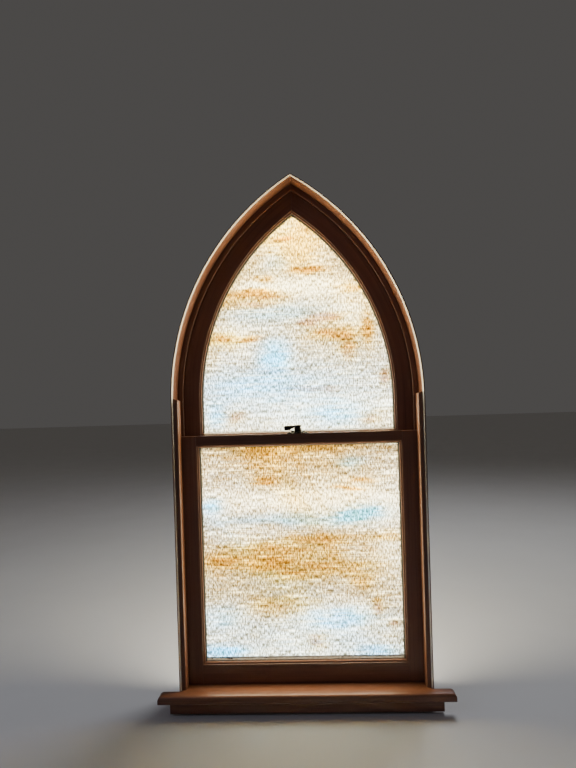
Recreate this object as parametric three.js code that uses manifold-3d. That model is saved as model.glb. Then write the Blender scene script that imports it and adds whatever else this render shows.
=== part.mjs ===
// Pointed-arch sash window in stained wood with streaky art glass.
//
// Units are millimetres. +X is to the right seen from the room, +Y goes through the wall to the outside,
// +Z is up. The origin is on the flat underside of the sill, in the middle of the frame's width and depth.
//
// The pointed arch has two centres. Each half of the window turns about a centre that lies on the springing
// line, CENTRE_OFFSET beyond the middle on the other side, so every arched piece is given by radii about
// that centre, and the straight piece below it has the same section at x = radius - CENTRE_OFFSET.

import * as THREE from "three";
import Module from "manifold-3d";

const wasm = await Module();
wasm.setup();

// ---- Driving dimensions -------------------------------------------------------------------------------

const GAP = 0.3; // what touching pieces keep between them
const ARC_STEPS = 22; // straight facets in each arched half
const PAST = 1; // how far a cutting body passes the surface that it cuts

// Heights above the underside of the sill
const STOOL_TOP = 68;
const STOOL_THICKNESS = 26;
const SPRING_LINE = STOOL_TOP + 876;
const STOP_TOP = STOOL_TOP + 887.4;

// The arch
const CENTRE_OFFSET = 411;
const REVEAL_RADIUS = 788; // inner face of jamb and arch
const EDGE_WIDTH = 6; // pale strip round the mouth of the frame
const EDGE_FLAT = 0.8; // its narrow flats beside the wall and the reveal
const EDGE_LAP = 3; // how far it stands proud of the reveal
const PARTING_WIDTH = 16.5;
const PARTING_EASE = 1; // bevel on its inner edge

// Depths behind the room face of the wall
const FRAME_DEPTH = 132;
const ROOM_FACE = -FRAME_DEPTH / 2;
const STOP_FRONT = 6.5;
const LOWER_FRONT = 43;
const SASH_THICKNESS = 27.5;
const PARTING_FRONT = 71.5;
const UPPER_FRONT = 83.5;
const REBATE_FRONT = UPPER_FRONT + SASH_THICKNESS + GAP; // face of the jambs' outside stop

// Sash members
const STILE_FACE = 48.5; // of the upper sash, face left showing inside the parting bead
const STICKING = 12; // moulded inner edge, from face to glass
const GLASS_DEPTH = 14.5; // glass behind the face of its sash
const GLASS_THICKNESS = 4;
const GLASS_GRIP = 7; // how far the pane reaches into its rebate
const LOWER_HALF = 374.5; // half the lower sash's width
const LOWER_FACE_HALF = 318; // where its stiles' faces end
const MEETING_RAIL_TOP = STOOL_TOP + 769;
const MEETING_STICKING = 8.8; // the meeting rail's narrower moulded edge
const MEETING_RAIL_FACE = 28.2;
const LIP_HEIGHT = 26; // of the bevelled lips that meet between the two sashes
const LIP_REACH = 6.5; // of the lower sash's lip, at its top
const LIP_BEVEL = 2;
const LIP_HEEL = 4; // short slope under each lip
const LIP_GAP = 0.5;
const BOTTOM_RAIL_TOP = STOOL_TOP + 58;
const UPPER_OUTER_RADIUS = REVEAL_RADIUS - 2;
const UPPER_FACE_RADIUS = REVEAL_RADIUS - PARTING_WIDTH - STILE_FACE;
const UPPER_GLASS_RADIUS = UPPER_FACE_RADIUS - STICKING;
const UPPER_RAIL_RISE = 6; // upper glass line above the meeting rail's top
const RISE_ROUND = 5; // its rounded front
const RISE_FLAT = 2;
const RISE_DEPTH = 7.7; // from the foot of the rise to the pane

// Stops, stool, apron and sill
const STOP_WIDTH = 14;
const STOP_ROUND = 5;
const STOP_PLAY = 0.8; // between the stop and the sash that slides behind it
const STOP_SLOPE = 0.47; // fall of the stop's top for each millimetre inwards
const STOOL_HALF = 443;
const STOOL_NOSE = 32; // reach of the stool in front of the wall
const STOOL_EASE = 4; // rounding under the nose
const STOOL_CORNER = 14; // rounding of the upper ends
const APRON_HALF = 408.6;
const APRON_FOOT = 7; // its lower edge above the underside of the sill
const APRON_THICKNESS = 18;
const APRON_EASE = 2;
const SILL_NOSE = 32; // reach of the sill beyond the frame outside
const SILL_FALL = 0.155; // drop of the sill's top for each millimetre outwards
const JAMB_FRONT_THICKNESS = 7; // at the mouth, where the wall's plaster laps over it
const JAMB_THICKNESS = 20;
const JAMB_FULL_DEPTH = 98.4; // where it has its whole thickness
const EXTERIOR_REBATE = 12;

// Sash lock, with heights above the meeting rails
const LOCK_X = -1.5; // pivot beside the middle
const LOCK_DEPTH = 59; // pivot behind the room face
const LOCK_HALF = 33.5;
const EAR_RADIUS = 7.5;
const BASE_TOP = 2.4;
const BOSS_TOP = 3;
const HUB_RADIUS = 12;
const HUB_TOP = 26.5;
const CAM_RADIUS = 23;
const CAM_LOW = 3.3;
const CAM_HIGH = 5.3;
const LEVER_REACH = 43;
const LEVER_TOP = 25;
const THUMB_RADIUS = 6.5;
const KEEPER_HALF = 22;
const KEEPER_SEAT = 6; // how far it reaches back over the upper rail
const KEEPER_TOP = 7.6;
const KEEPER_EASE = 0.8;
const KEEPER_ROOF = 6; // underside of its top plate
const KEEPER_FLOOR = 1.2;
const KEEPER_BACK = 4; // thickness of its back

// ---- Working values -----------------------------------------------------------------------------------

const OPENING_HALF = REVEAL_RADIUS - CENTRE_OFFSET;
const JAMB_HALF = OPENING_HALF + JAMB_THICKNESS;
const EDGE_RADIUS = REVEAL_RADIUS - EDGE_LAP;
const STOOL_UNDERSIDE = STOOL_TOP - STOOL_THICKNESS;
const SILL_BACK_TOP = STOOL_TOP - 8; // sill under the face of the lower sash
const LOWER_BACK = LOWER_FRONT + SASH_THICKNESS;
const UPPER_BACK = UPPER_FRONT + SASH_THICKNESS;
const UPPER_LIP = LOWER_BACK + LIP_REACH + LIP_GAP;
const UPPER_GLASS_BOTTOM = MEETING_RAIL_TOP + UPPER_RAIL_RISE;
const MEETING_FACE_BOTTOM = MEETING_RAIL_TOP - MEETING_RAIL_FACE;
const LOWER_GLASS_TOP = MEETING_FACE_BOTTOM - MEETING_STICKING;
const LOWER_GLASS_BOTTOM = BOTTOM_RAIL_TOP + STICKING;
const LOWER_GLASS_HALF = LOWER_FACE_HALF - STICKING;
const UPPER_RAIL_BOTTOM = LOWER_GLASS_TOP;

const deep = (depth) => ROOM_FACE + depth;
const sillTop = (depth) => SILL_BACK_TOP - (depth - LOWER_FRONT) * SILL_FALL;

// ---- Materials ----------------------------------------------------------------------------------------

const finish = (color, roughness, metalness = 0) =>
  new THREE.MeshStandardMaterial({ color, roughness, metalness });
const stainedWood = () => finish(0x3a2019, 0.42);
const weatheredWood = () => finish(0x4a3a30, 0.7);
const palePaint = () => finish(0xddd3c6, 0.6);
const darkBronze = () => finish(0x221e1b, 0.4, 0.8);
const artGlass = () => {
  const material = finish(0xe9e2cf, 0.25);
  material.transparent = true;
  material.opacity = 0.85;
  return material;
};

// ---- Shape helpers ------------------------------------------------------------------------------------

const group = new THREE.Group();

function addMesh(name, geometry, material) {
  const mesh = new THREE.Mesh(geometry, material);
  mesh.name = name;
  group.add(mesh);
}

function geometryOf(points, triangles) {
  const geometry = new THREE.BufferGeometry();
  geometry.setAttribute("position", new THREE.Float32BufferAttribute(points.flat(), 3));
  geometry.setIndex(triangles.flat());
  const flat = geometry.toNonIndexed();
  flat.computeVertexNormals();
  return flat;
}

// Six times the volume that the triangles enclose, negative when they face inwards
function signedVolume(points, triangles) {
  const corner = (i) => new THREE.Vector3(...points[i]);
  return triangles.reduce((sum, [a, b, c]) => sum + corner(a).dot(corner(b).cross(corner(c))), 0);
}

// Carries a closed section through a row of stations. place(point, station) puts a section point in space.
function sweepBody(section, stations, place) {
  const corners = section.length;
  const points = stations.flatMap((station) => section.map((point) => place(point, station)));
  const contour = section.map(([u, v]) => new THREE.Vector2(u, v));
  const turn = Math.sign(THREE.ShapeUtils.area(contour));
  const cap = THREE.ShapeUtils.triangulateShape(contour, []).map(([a, b, c]) => {
    const area = THREE.ShapeUtils.area([contour[a], contour[b], contour[c]]);
    return Math.sign(area) === turn ? [a, b, c] : [a, c, b];
  });
  const triangles = cap.map(([a, b, c]) => [a, c, b]);
  for (let row = 0; row < stations.length - 1; row++) {
    for (let i = 0; i < corners; i++) {
      const a = row * corners + i;
      const b = row * corners + ((i + 1) % corners);
      triangles.push([a, b, b + corners], [a, b + corners, a + corners]);
    }
  }
  const last = (stations.length - 1) * corners;
  triangles.push(...cap.map((face) => face.map((i) => i + last)));
  const outward = signedVolume(points, triangles) > 0;
  return { points, triangles: outward ? triangles : triangles.map(([a, b, c]) => [a, c, b]) };
}

const sweep = (...args) => {
  const { points, triangles } = sweepBody(...args);
  return geometryOf(points, triangles);
};

function toManifold({ points, triangles }) {
  const vertProperties = new Float32Array(points.flat());
  const triVerts = new Uint32Array(triangles.flat());
  return new wasm.Manifold(new wasm.Mesh({ numProp: 3, vertProperties, triVerts }));
}

function fromManifold(solid) {
  const { vertProperties, triVerts } = solid.getMesh();
  const geometry = new THREE.BufferGeometry();
  geometry.setAttribute("position", new THREE.BufferAttribute(vertProperties, 3));
  geometry.setIndex(new THREE.BufferAttribute(triVerts, 1));
  const flat = geometry.toNonIndexed();
  flat.computeVertexNormals();
  return flat;
}

// Prisms along each axis. A section is a list of pairs: [x, depth] for an upright, [depth, z] for a piece
// that runs across, and [x, z] for one that goes through the wall.
const upright = (section, low, high) =>
  sweepBody(section, [low, high], ([x, depth], z) => [x, deep(depth), z]);
const across = (section, left, right) =>
  sweepBody(section, [left, right], ([depth, z], x) => [x, deep(depth), z]);
const through = (section, front, back) =>
  sweepBody(section, [front, back], ([x, z], depth) => [x, deep(depth), z]);

const rectangle = (u0, v0, u1, v1) => [[u0, v0], [u1, v0], [u1, v1], [u0, v1]];

// Points of an arc from one angle to another, both ends included
function arcPoints(centreU, centreV, radius, from, to, steps) {
  return Array.from({ length: steps + 1 }, (_, i) => {
    const angle = THREE.MathUtils.degToRad(from + ((to - from) * i) / steps);
    return [centreU + radius * Math.cos(angle), centreV + radius * Math.sin(angle)];
  });
}

// A piece whose section, a list of [radius, depth], goes round one half of the arch to the mitre at the
// apex. With a foot it first rises straight from that height to the springing line.
function archedHalf(side, section, foot) {
  const arc = Array.from({ length: ARC_STEPS + 1 }, (_, i) => ({ share: i / ARC_STEPS }));
  const stations = foot === undefined ? arc : [{ height: foot }, ...arc];
  const place = ([radius, depth], { share, height }) => {
    if (height !== undefined) {
      return [side * (radius - CENTRE_OFFSET), deep(depth), height];
    }
    const apex = Math.acos((CENTRE_OFFSET + GAP / 2) / radius);
    const start = foot === undefined ? Math.asin(GAP / radius) : 0;
    const angle = start + (apex - start) * share;
    const x = radius * Math.cos(angle) - CENTRE_OFFSET;
    return [side * x, deep(depth), SPRING_LINE + radius * Math.sin(angle)];
  };
  return sweepBody(section, stations, place);
}

const asGeometry = ({ points, triangles }) => geometryOf(points, triangles);
const SIDES = [["left", -1], ["right", 1]];
const mirrored = (side, section) => section.map(([x, depth]) => [side * x, depth]);

// ---- Frame --------------------------------------------------------------------------------------------

// Sections of the frame as [radius, depth]. The jamb has a stop outside the upper sash.
const jambSection = [
  [REVEAL_RADIUS, EDGE_WIDTH + GAP],
  [REVEAL_RADIUS + JAMB_FRONT_THICKNESS, EDGE_WIDTH + GAP],
  [REVEAL_RADIUS + JAMB_THICKNESS, JAMB_FULL_DEPTH],
  [REVEAL_RADIUS + JAMB_THICKNESS, FRAME_DEPTH],
  [REVEAL_RADIUS - EXTERIOR_REBATE, FRAME_DEPTH],
  [REVEAL_RADIUS - EXTERIOR_REBATE, REBATE_FRONT],
  [REVEAL_RADIUS, REBATE_FRONT],
];
const edgeSection = [
  [EDGE_RADIUS, EDGE_WIDTH],
  [EDGE_RADIUS, EDGE_WIDTH - EDGE_FLAT],
  [EDGE_RADIUS + EDGE_WIDTH - EDGE_FLAT, 0],
  [EDGE_RADIUS + EDGE_WIDTH, 0],
  [EDGE_RADIUS + EDGE_WIDTH, EDGE_WIDTH],
];
const partingSection = [
  [REVEAL_RADIUS - GAP, PARTING_FRONT],
  [REVEAL_RADIUS - PARTING_WIDTH + PARTING_EASE, PARTING_FRONT],
  [REVEAL_RADIUS - PARTING_WIDTH, PARTING_FRONT + PARTING_EASE],
  [REVEAL_RADIUS - PARTING_WIDTH, UPPER_FRONT - GAP],
  [REVEAL_RADIUS - GAP, UPPER_FRONT - GAP],
];
const straight = (section) => section.map(([radius, depth]) => [radius - CENTRE_OFFSET, depth]);

function addFrame() {
  const partingFoot = sillTop(PARTING_FRONT) + GAP;
  for (const [name, side] of SIDES) {
    const post = (section, foot) => upright(mirrored(side, straight(section)), foot, SPRING_LINE);
    const strip = archedHalf(side, edgeSection, STOOL_TOP + GAP);
    addMesh(`jamb_${name}`, asGeometry(post(jambSection, 0)), stainedWood());
    addMesh(`arch_${name}`, asGeometry(archedHalf(side, jambSection)), stainedWood());
    addMesh(`parting_stop_${name}`, asGeometry(post(partingSection, partingFoot)), stainedWood());
    addMesh(`parting_arch_${name}`, asGeometry(archedHalf(side, partingSection)), stainedWood());
    addMesh(`edge_strip_${name}`, asGeometry(strip), palePaint());
  }
}

// Side stop: room-side corner rounded, top cut to slope down towards the glass
function addSideStop(name, side) {
  const outer = OPENING_HALF - GAP;
  const inner = outer - STOP_WIDTH;
  const section = [
    [outer, STOP_FRONT],
    [outer, LOWER_FRONT - STOP_PLAY],
    [inner, LOWER_FRONT - STOP_PLAY],
    ...arcPoints(inner + STOP_ROUND, STOP_FRONT + STOP_ROUND, STOP_ROUND, 180, 270, 4),
  ];
  const topAt = (x) => STOP_TOP - (outer - Math.abs(x)) * STOP_SLOPE;
  const place = ([x, depth], top) => [x, deep(depth), top ? topAt(x) : STOOL_TOP + GAP];
  addMesh(`side_stop_${name}`, sweep(mirrored(side, section), [false, true], place), stainedWood());
}

// Sill: flat seat under the stool, then a top that falls to the outside, wider beyond the frame
function addSill() {
  const outerEnd = FRAME_DEPTH + SILL_NOSE;
  const section = [
    [GAP, 0],
    [outerEnd, 0],
    [outerEnd, sillTop(outerEnd)],
    [LOWER_FRONT, SILL_BACK_TOP],
    [LOWER_FRONT, STOOL_UNDERSIDE - GAP],
    [GAP, STOOL_UNDERSIDE - GAP],
  ];
  const board = toManifold(across(section, -JAMB_HALF, JAMB_HALF));
  // The jambs stand in housings cut from both ends, stepped for their outside stops
  const housing = (side, inner, front) => {
    const plan = rectangle(side * inner, front, side * (JAMB_HALF + PAST), FRAME_DEPTH + GAP);
    return toManifold(upright(plan, -PAST, STOOL_TOP));
  };
  const housings = SIDES.flatMap(([, side]) => [
    housing(side, OPENING_HALF - GAP, -PAST),
    housing(side, OPENING_HALF - EXTERIOR_REBATE - GAP, REBATE_FRONT - GAP),
  ]);
  const sill = housings.reduce((solid, cut) => solid.subtract(cut), board);
  addMesh("sill", fromManifold(sill), weatheredWood());
}

// Stool: the nose is a half round, the horns pass the frame on both sides, the rest fits between the jambs
function addStool() {
  const round = STOOL_THICKNESS / 2 - STOOL_EASE;
  const section = [
    [LOWER_FRONT - GAP, STOOL_UNDERSIDE],
    [LOWER_FRONT - GAP, STOOL_TOP],
    ...arcPoints(-STOOL_NOSE + round, STOOL_TOP - round, round, 90, 180, 4),
    ...arcPoints(-STOOL_NOSE + STOOL_EASE, STOOL_UNDERSIDE + STOOL_EASE, STOOL_EASE, 180, 270, 3),
  ];
  const board = toManifold(across(section, -STOOL_HALF, STOOL_HALF));
  const cornerX = STOOL_HALF - STOOL_CORNER;
  const cornerZ = STOOL_TOP - STOOL_CORNER;
  const ends = [
    [-STOOL_HALF, STOOL_UNDERSIDE - PAST],
    [STOOL_HALF, STOOL_UNDERSIDE - PAST],
    ...arcPoints(cornerX, cornerZ, STOOL_CORNER, 0, 90, 5),
    ...arcPoints(-cornerX, cornerZ, STOOL_CORNER, 90, 180, 5),
  ];
  const rounded = board.intersect(toManifold(through(ends, -STOOL_NOSE - PAST, LOWER_FRONT)));
  const jambCuts = SIDES.map(([, side]) => {
    const [inner, outer] = [side * (OPENING_HALF - GAP), side * (STOOL_HALF + PAST)];
    return toManifold(upright(rectangle(inner, -GAP, outer, LOWER_FRONT + PAST), 0, STOOL_TOP + PAST));
  });
  const stool = jambCuts.reduce((solid, cut) => solid.subtract(cut), rounded);
  addMesh("stool", fromManifold(stool), stainedWood());
}

// Apron: flat board under the stool with an eased lower edge
function addApron() {
  const section = [
    [0, APRON_FOOT],
    [0, STOOL_UNDERSIDE - GAP],
    [-APRON_THICKNESS, STOOL_UNDERSIDE - GAP],
    [-APRON_THICKNESS, APRON_FOOT + APRON_EASE],
    [-APRON_THICKNESS + APRON_EASE, APRON_FOOT],
  ];
  addMesh("apron", asGeometry(across(section, -APRON_HALF, APRON_HALF)), stainedWood());
}

// ---- Sashes -------------------------------------------------------------------------------------------

// The moulded edge from the face of a member to the glass: a small bevel, a flat, an ovolo, a flat and
// the ledge against the pane. Each point is [way towards the glass, depth behind the face].
const moulding = [
  [0, 0],
  [1, 3],
  [3.4, 3.4],
  ...arcPoints(3.4, 8.4, 4.4, -90, 0, 3),
  [STICKING, 8.6],
  [STICKING, GLASS_DEPTH - GAP],
];
const paneBack = GLASS_DEPTH + GLASS_THICKNESS;
const ZONE_REACH = 40;
const PANE_PLAY = 1; // between the pane's edge and the back of its rebate
const rebateReach = STICKING - GLASS_GRIP - PANE_PLAY; // outside rebate, from the face line

// Section of a sash member as [way towards the glass, depth behind the face], from its outer edge
const memberSection = (outerEdge, width = STICKING) => [
  [outerEdge, 0],
  ...moulding.map(([way, depth]) => [(way * width) / STICKING, depth]),
  [(rebateReach * width) / STICKING, GLASS_DEPTH - GAP],
  [(rebateReach * width) / STICKING, SASH_THICKNESS],
  [outerEdge, SASH_THICKNESS],
];

// Exterior glazing bead: a three-sided fillet that holds the pane from outside
const BEAD_SETBACK = 0.5; // of the bead, from the sash's back and its glass line
const BEAD_FLAT = 2;
const beadSection = [
  [STICKING - BEAD_SETBACK, paneBack + GAP],
  [rebateReach + GAP, paneBack + GAP],
  [rebateReach + GAP, SASH_THICKNESS - BEAD_SETBACK],
  [rebateReach + BEAD_FLAT, SASH_THICKNESS - BEAD_SETBACK],
];

// Outline, from the room, of what belongs to a rail: square ends between the stiles' faces, then mitres
// across the moulding, then free past the glass line. Its ends move in by the clearance.
function railZone({ faceHalf, faceLine, glassHalf, glassLine, outerLine }, clearance) {
  const far = glassLine + Math.sign(glassLine - faceLine) * ZONE_REACH;
  const right = [
    [faceHalf - clearance, outerLine],
    [faceHalf - clearance, faceLine],
    [glassHalf - clearance, glassLine],
    [glassHalf - clearance, far],
  ];
  return [...right, ...mirrored(-1, right).reverse()];
}

const lowerEnd = (depth) => sillTop(depth) + GAP;
const bottomRailLines = {
  faceHalf: LOWER_FACE_HALF,
  faceLine: BOTTOM_RAIL_TOP,
  glassHalf: LOWER_GLASS_HALF,
  glassLine: LOWER_GLASS_BOTTOM,
  outerLine: STOOL_UNDERSIDE,
};
const lowerMeetingLines = {
  faceHalf: LOWER_FACE_HALF,
  faceLine: MEETING_FACE_BOTTOM,
  glassHalf: LOWER_GLASS_HALF,
  glassLine: LOWER_GLASS_TOP,
  outerLine: MEETING_RAIL_TOP + PAST,
};

function addLowerSash() {
  const zoneBody = (lines, clearance) =>
    toManifold(through(railZone(lines, clearance), LOWER_FRONT - PAST, UPPER_FRONT));

  for (const [name, side] of SIDES) {
    const section = memberSection(LOWER_FACE_HALF - LOWER_HALF).map(([way, depth]) => [
      side * (LOWER_FACE_HALF - way),
      LOWER_FRONT + depth,
    ]);
    const place = ([x, depth], top) => [x, deep(depth), top ? MEETING_RAIL_TOP : lowerEnd(depth)];
    const stile = toManifold(sweepBody(section, [false, true], place));
    const coped = stile.subtract(zoneBody(bottomRailLines, 0)).subtract(zoneBody(lowerMeetingLines, 0));
    addMesh(`lower_stile_${name}`, fromManifold(coped), stainedWood());
  }

  const underside = BOTTOM_RAIL_TOP - SILL_BACK_TOP;
  const bottomSection = memberSection(underside).map(([way, depth]) => {
    const height = way === underside ? lowerEnd(LOWER_FRONT + depth) : BOTTOM_RAIL_TOP + way;
    return [LOWER_FRONT + depth, height];
  });
  const bottomBar = toManifold(across(bottomSection, -LOWER_FACE_HALF, LOWER_FACE_HALF));
  const bottomRail = bottomBar.intersect(zoneBody(bottomRailLines, GAP));
  addMesh("lower_bottom_rail", fromManifold(bottomRail), stainedWood());

  // The meeting rail has a bevelled lip at the back that closes the gap between the two sashes
  const backCorner = ([way, depth]) => way === -MEETING_RAIL_FACE && depth === SASH_THICKNESS;
  const topSection = memberSection(-MEETING_RAIL_FACE, MEETING_STICKING)
    .filter((point) => !backCorner(point))
    .map(([way, depth]) => [LOWER_FRONT + depth, MEETING_FACE_BOTTOM - way]);
  topSection.push(
    [LOWER_BACK, MEETING_RAIL_TOP - LIP_HEIGHT],
    [LOWER_BACK + LIP_REACH - LIP_BEVEL, MEETING_RAIL_TOP - LIP_HEIGHT + LIP_HEEL],
    [LOWER_BACK + LIP_REACH, MEETING_RAIL_TOP],
  );
  const topBar = toManifold(across(topSection, -LOWER_FACE_HALF, LOWER_FACE_HALF));
  const topRail = topBar.intersect(zoneBody(lowerMeetingLines, GAP));
  addMesh("lower_meeting_rail", fromManifold(topRail), stainedWood());

  const paneHalf = LOWER_GLASS_HALF + GLASS_GRIP;
  const paneLow = LOWER_GLASS_BOTTOM - GLASS_GRIP;
  const paneHigh = LOWER_GLASS_TOP + (GLASS_GRIP * MEETING_STICKING) / STICKING;
  const outline = rectangle(-paneHalf, paneLow, paneHalf, paneHigh);
  const pane = through(outline, LOWER_FRONT + GLASS_DEPTH, LOWER_FRONT + paneBack);
  addMesh("lower_glass", asGeometry(pane), artGlass());
  addLowerBeads(paneLow, paneHigh);
}

function addLowerBeads(paneLow, paneHigh) {
  const narrow = MEETING_STICKING / STICKING;
  for (const [name, side] of SIDES) {
    const place = ([way, depth]) => [side * (LOWER_FACE_HALF - way), LOWER_FRONT + depth];
    const bead = upright(beadSection.map(place), paneLow, paneHigh);
    addMesh(`lower_bead_${name}`, asGeometry(bead), weatheredWood());
  }
  const half = LOWER_GLASS_HALF - GAP;
  const low = beadSection.map(([way, depth]) => [LOWER_FRONT + depth, BOTTOM_RAIL_TOP + way]);
  const high = beadSection.map(([way, depth]) => [
    LOWER_FRONT + depth,
    MEETING_FACE_BOTTOM - way * narrow - GAP,
  ]);
  addMesh("lower_bead_bottom", asGeometry(across(low, -half, half)), weatheredWood());
  addMesh("lower_bead_top", asGeometry(across(high, -half, half)), weatheredWood());
}

const upperMeetingLines = {
  faceHalf: UPPER_FACE_RADIUS - CENTRE_OFFSET,
  faceLine: MEETING_RAIL_TOP,
  glassHalf: UPPER_GLASS_RADIUS - CENTRE_OFFSET,
  glassLine: UPPER_GLASS_BOTTOM,
  outerLine: UPPER_RAIL_BOTTOM - PAST,
};

function addUpperSash() {
  const zoneBody = (clearance) =>
    toManifold(through(railZone(upperMeetingLines, clearance), LOWER_BACK, UPPER_BACK + PAST));
  const arched = (section) => section.map(([way, depth]) => [UPPER_FACE_RADIUS - way, UPPER_FRONT + depth]);

  for (const [name, side] of SIDES) {
    const section = arched(memberSection(UPPER_FACE_RADIUS - UPPER_OUTER_RADIUS));
    const stile = toManifold(archedHalf(side, section, UPPER_RAIL_BOTTOM));
    addMesh(`upper_stile_${name}`, fromManifold(stile.subtract(zoneBody(0))), stainedWood());
    const bead = archedHalf(side, arched(beadSection), UPPER_GLASS_BOTTOM - GLASS_GRIP + GAP);
    addMesh(`upper_bead_${name}`, asGeometry(bead), weatheredWood());
  }

  // Meeting rail: flat top where the keeper sits, a rise to the glass, and a lip towards the lower sash
  const rebateFloor = UPPER_GLASS_BOTTOM - GLASS_GRIP - PANE_PLAY;
  const ledge = UPPER_FRONT + GLASS_DEPTH - GAP; // the rail's edge against the pane
  const railSection = [
    [UPPER_BACK, UPPER_RAIL_BOTTOM],
    [UPPER_BACK, rebateFloor],
    [ledge, rebateFloor],
    [ledge, UPPER_GLASS_BOTTOM],
    ...arcPoints(ledge - RISE_FLAT, UPPER_GLASS_BOTTOM - RISE_ROUND, RISE_ROUND, 90, 160, 3),
    [ledge - RISE_DEPTH, MEETING_RAIL_TOP],
    [UPPER_LIP, MEETING_RAIL_TOP],
    [UPPER_LIP - LIP_BEVEL, MEETING_RAIL_TOP - LIP_HEIGHT + LIP_HEEL - LIP_GAP],
    [UPPER_FRONT, MEETING_RAIL_TOP - LIP_HEIGHT - LIP_GAP],
    [UPPER_FRONT, UPPER_RAIL_BOTTOM],
  ];
  const { faceHalf, glassHalf } = upperMeetingLines;
  const rail = toManifold(across(railSection, -faceHalf, faceHalf));
  addMesh("upper_meeting_rail", fromManifold(rail.intersect(zoneBody(GAP))), stainedWood());
  const bead = beadSection.map(([way, depth]) => [
    UPPER_FRONT + depth,
    rebateFloor + GAP + way - rebateReach,
  ]);
  addMesh("upper_bead_bottom", asGeometry(across(bead, -glassHalf + GAP, glassHalf - GAP)), weatheredWood());
  addUpperPane();
}

// Pane of the upper sash: a pointed arch on straight sides
function addUpperPane() {
  const radius = UPPER_GLASS_RADIUS + GLASS_GRIP;
  const apex = THREE.MathUtils.radToDeg(Math.acos(CENTRE_OFFSET / radius));
  const rightArc = arcPoints(-CENTRE_OFFSET, SPRING_LINE, radius, 0, apex, ARC_STEPS);
  const leftArc = arcPoints(CENTRE_OFFSET, SPRING_LINE, radius, 180 - apex, 180, ARC_STEPS).slice(1);
  const half = radius - CENTRE_OFFSET;
  const low = UPPER_GLASS_BOTTOM - GLASS_GRIP;
  const outline = [[-half, low], [half, low], ...rightArc, ...leftArc];
  const pane = through(outline, UPPER_FRONT + GLASS_DEPTH, UPPER_FRONT + paneBack);
  addMesh("upper_glass", asGeometry(pane), artGlass());
}

// ---- Sash lock ----------------------------------------------------------------------------------------

// A body turned about the lock's pivot, from a profile of [radius, height above the rail] with flat ends
function turned(profile) {
  const circle = arcPoints(0, 0, 1, 0, 345, 23);
  const place = ([u, v], [radius, height]) => [
    LOCK_X + radius * u,
    deep(LOCK_DEPTH) + radius * v,
    MEETING_RAIL_TOP + height,
  ];
  return toManifold(sweepBody(circle, profile, place));
}

// A flat plate over the meeting rail, its outline a list of [way to the right, way back] from the pivot
function plate(outline, low, high) {
  const plan = outline.map(([right, back]) => [LOCK_X + right, LOCK_DEPTH + back]);
  return toManifold(upright(plan, MEETING_RAIL_TOP + low, MEETING_RAIL_TOP + high));
}

// Base: waisted plate with round ends and a boss for the pivot
function addLockBase() {
  const ear = LOCK_HALF - EAR_RADIUS;
  const outline = [
    ...arcPoints(-ear, 0, EAR_RADIUS, 90, 270, 8),
    ...arcPoints(0, 0, HUB_RADIUS, 230, 310, 4),
    ...arcPoints(ear, 0, EAR_RADIUS, -90, 90, 8),
    ...arcPoints(0, 0, HUB_RADIUS, 50, 130, 4),
  ];
  const boss = turned([[HUB_RADIUS, BASE_TOP / 2], [HUB_RADIUS, BOSS_TOP]]);
  addMesh("lock_base", fromManifold(plate(outline, GAP, BASE_TOP).add(boss)), darkBronze());
}

// Lever: hub, thumb piece pointing left and, under them, the cam that turns in below the keeper
function addLockLever() {
  const hub = turned([
    [HUB_RADIUS - 0.5, CAM_LOW],
    [HUB_RADIUS - 0.5, 16.5],
    [HUB_RADIUS - 1.8, 17.6],
    [HUB_RADIUS - 1.8, 19.2],
    [HUB_RADIUS - 0.8, 20.2],
    [HUB_RADIUS - 1, HUB_TOP - 1.5],
    [HUB_RADIUS - 2.5, HUB_TOP],
  ]);
  const sideView = new THREE.Shape();
  sideView.moveTo(-4, LEVER_TOP);
  sideView.lineTo(-LEVER_REACH + 7, LEVER_TOP);
  sideView.quadraticCurveTo(-LEVER_REACH, LEVER_TOP, -LEVER_REACH, 17.5);
  sideView.quadraticCurveTo(-LEVER_REACH, 11.5, -36, 11.2);
  sideView.quadraticCurveTo(-28, 11.4, -20, 16.6);
  sideView.quadraticCurveTo(-15, 19.5, -4, 19.5);
  const sideOutline = sideView.getPoints(5).map(({ x, y }) => [LOCK_X + x, MEETING_RAIL_TOP + y]);
  const planOutline = [
    ...arcPoints(-LEVER_REACH + THUMB_RADIUS, 0, THUMB_RADIUS, 100, 260, 8),
    [-22, -4.6],
    [-4, -6.5],
    [-4, 6.5],
    [-22, 4.6],
  ];
  const sidePrism = toManifold(through(sideOutline, LOCK_DEPTH - HUB_RADIUS, LOCK_DEPTH + HUB_RADIUS));
  const thumb = sidePrism.intersect(plate(planOutline, CAM_HIGH, HUB_TOP + PAST));
  const camOutline = [
    ...arcPoints(0, 0, CAM_RADIUS, -95, -25, 8),
    ...arcPoints(0, 0, HUB_RADIUS / 2, 20, -140, 6),
  ];
  const cam = plate(camOutline, CAM_LOW, CAM_HIGH);
  addMesh("lock_lever", fromManifold(hub.add(thumb).add(cam)), darkBronze());
}

// Keeper on the upper sash: a channel open to the room that the cam turns into
function addLockKeeper() {
  const front = UPPER_LIP + GAP;
  const back = UPPER_FRONT + KEEPER_SEAT;
  const channel = [
    [front, GAP],
    [back, GAP],
    [back, KEEPER_TOP - KEEPER_EASE],
    [back - KEEPER_EASE, KEEPER_TOP],
    [front + KEEPER_EASE, KEEPER_TOP],
    [front, KEEPER_TOP - KEEPER_EASE],
    [front, KEEPER_ROOF],
    [back - KEEPER_BACK, KEEPER_ROOF],
    [back - KEEPER_BACK, KEEPER_FLOOR],
    [front, KEEPER_FLOOR],
  ].map(([depth, height]) => [depth, MEETING_RAIL_TOP + height]);
  const keeper = across(channel, LOCK_X - KEEPER_HALF, LOCK_X + KEEPER_HALF);
  addMesh("lock_keeper", asGeometry(keeper), darkBronze());
}

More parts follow.
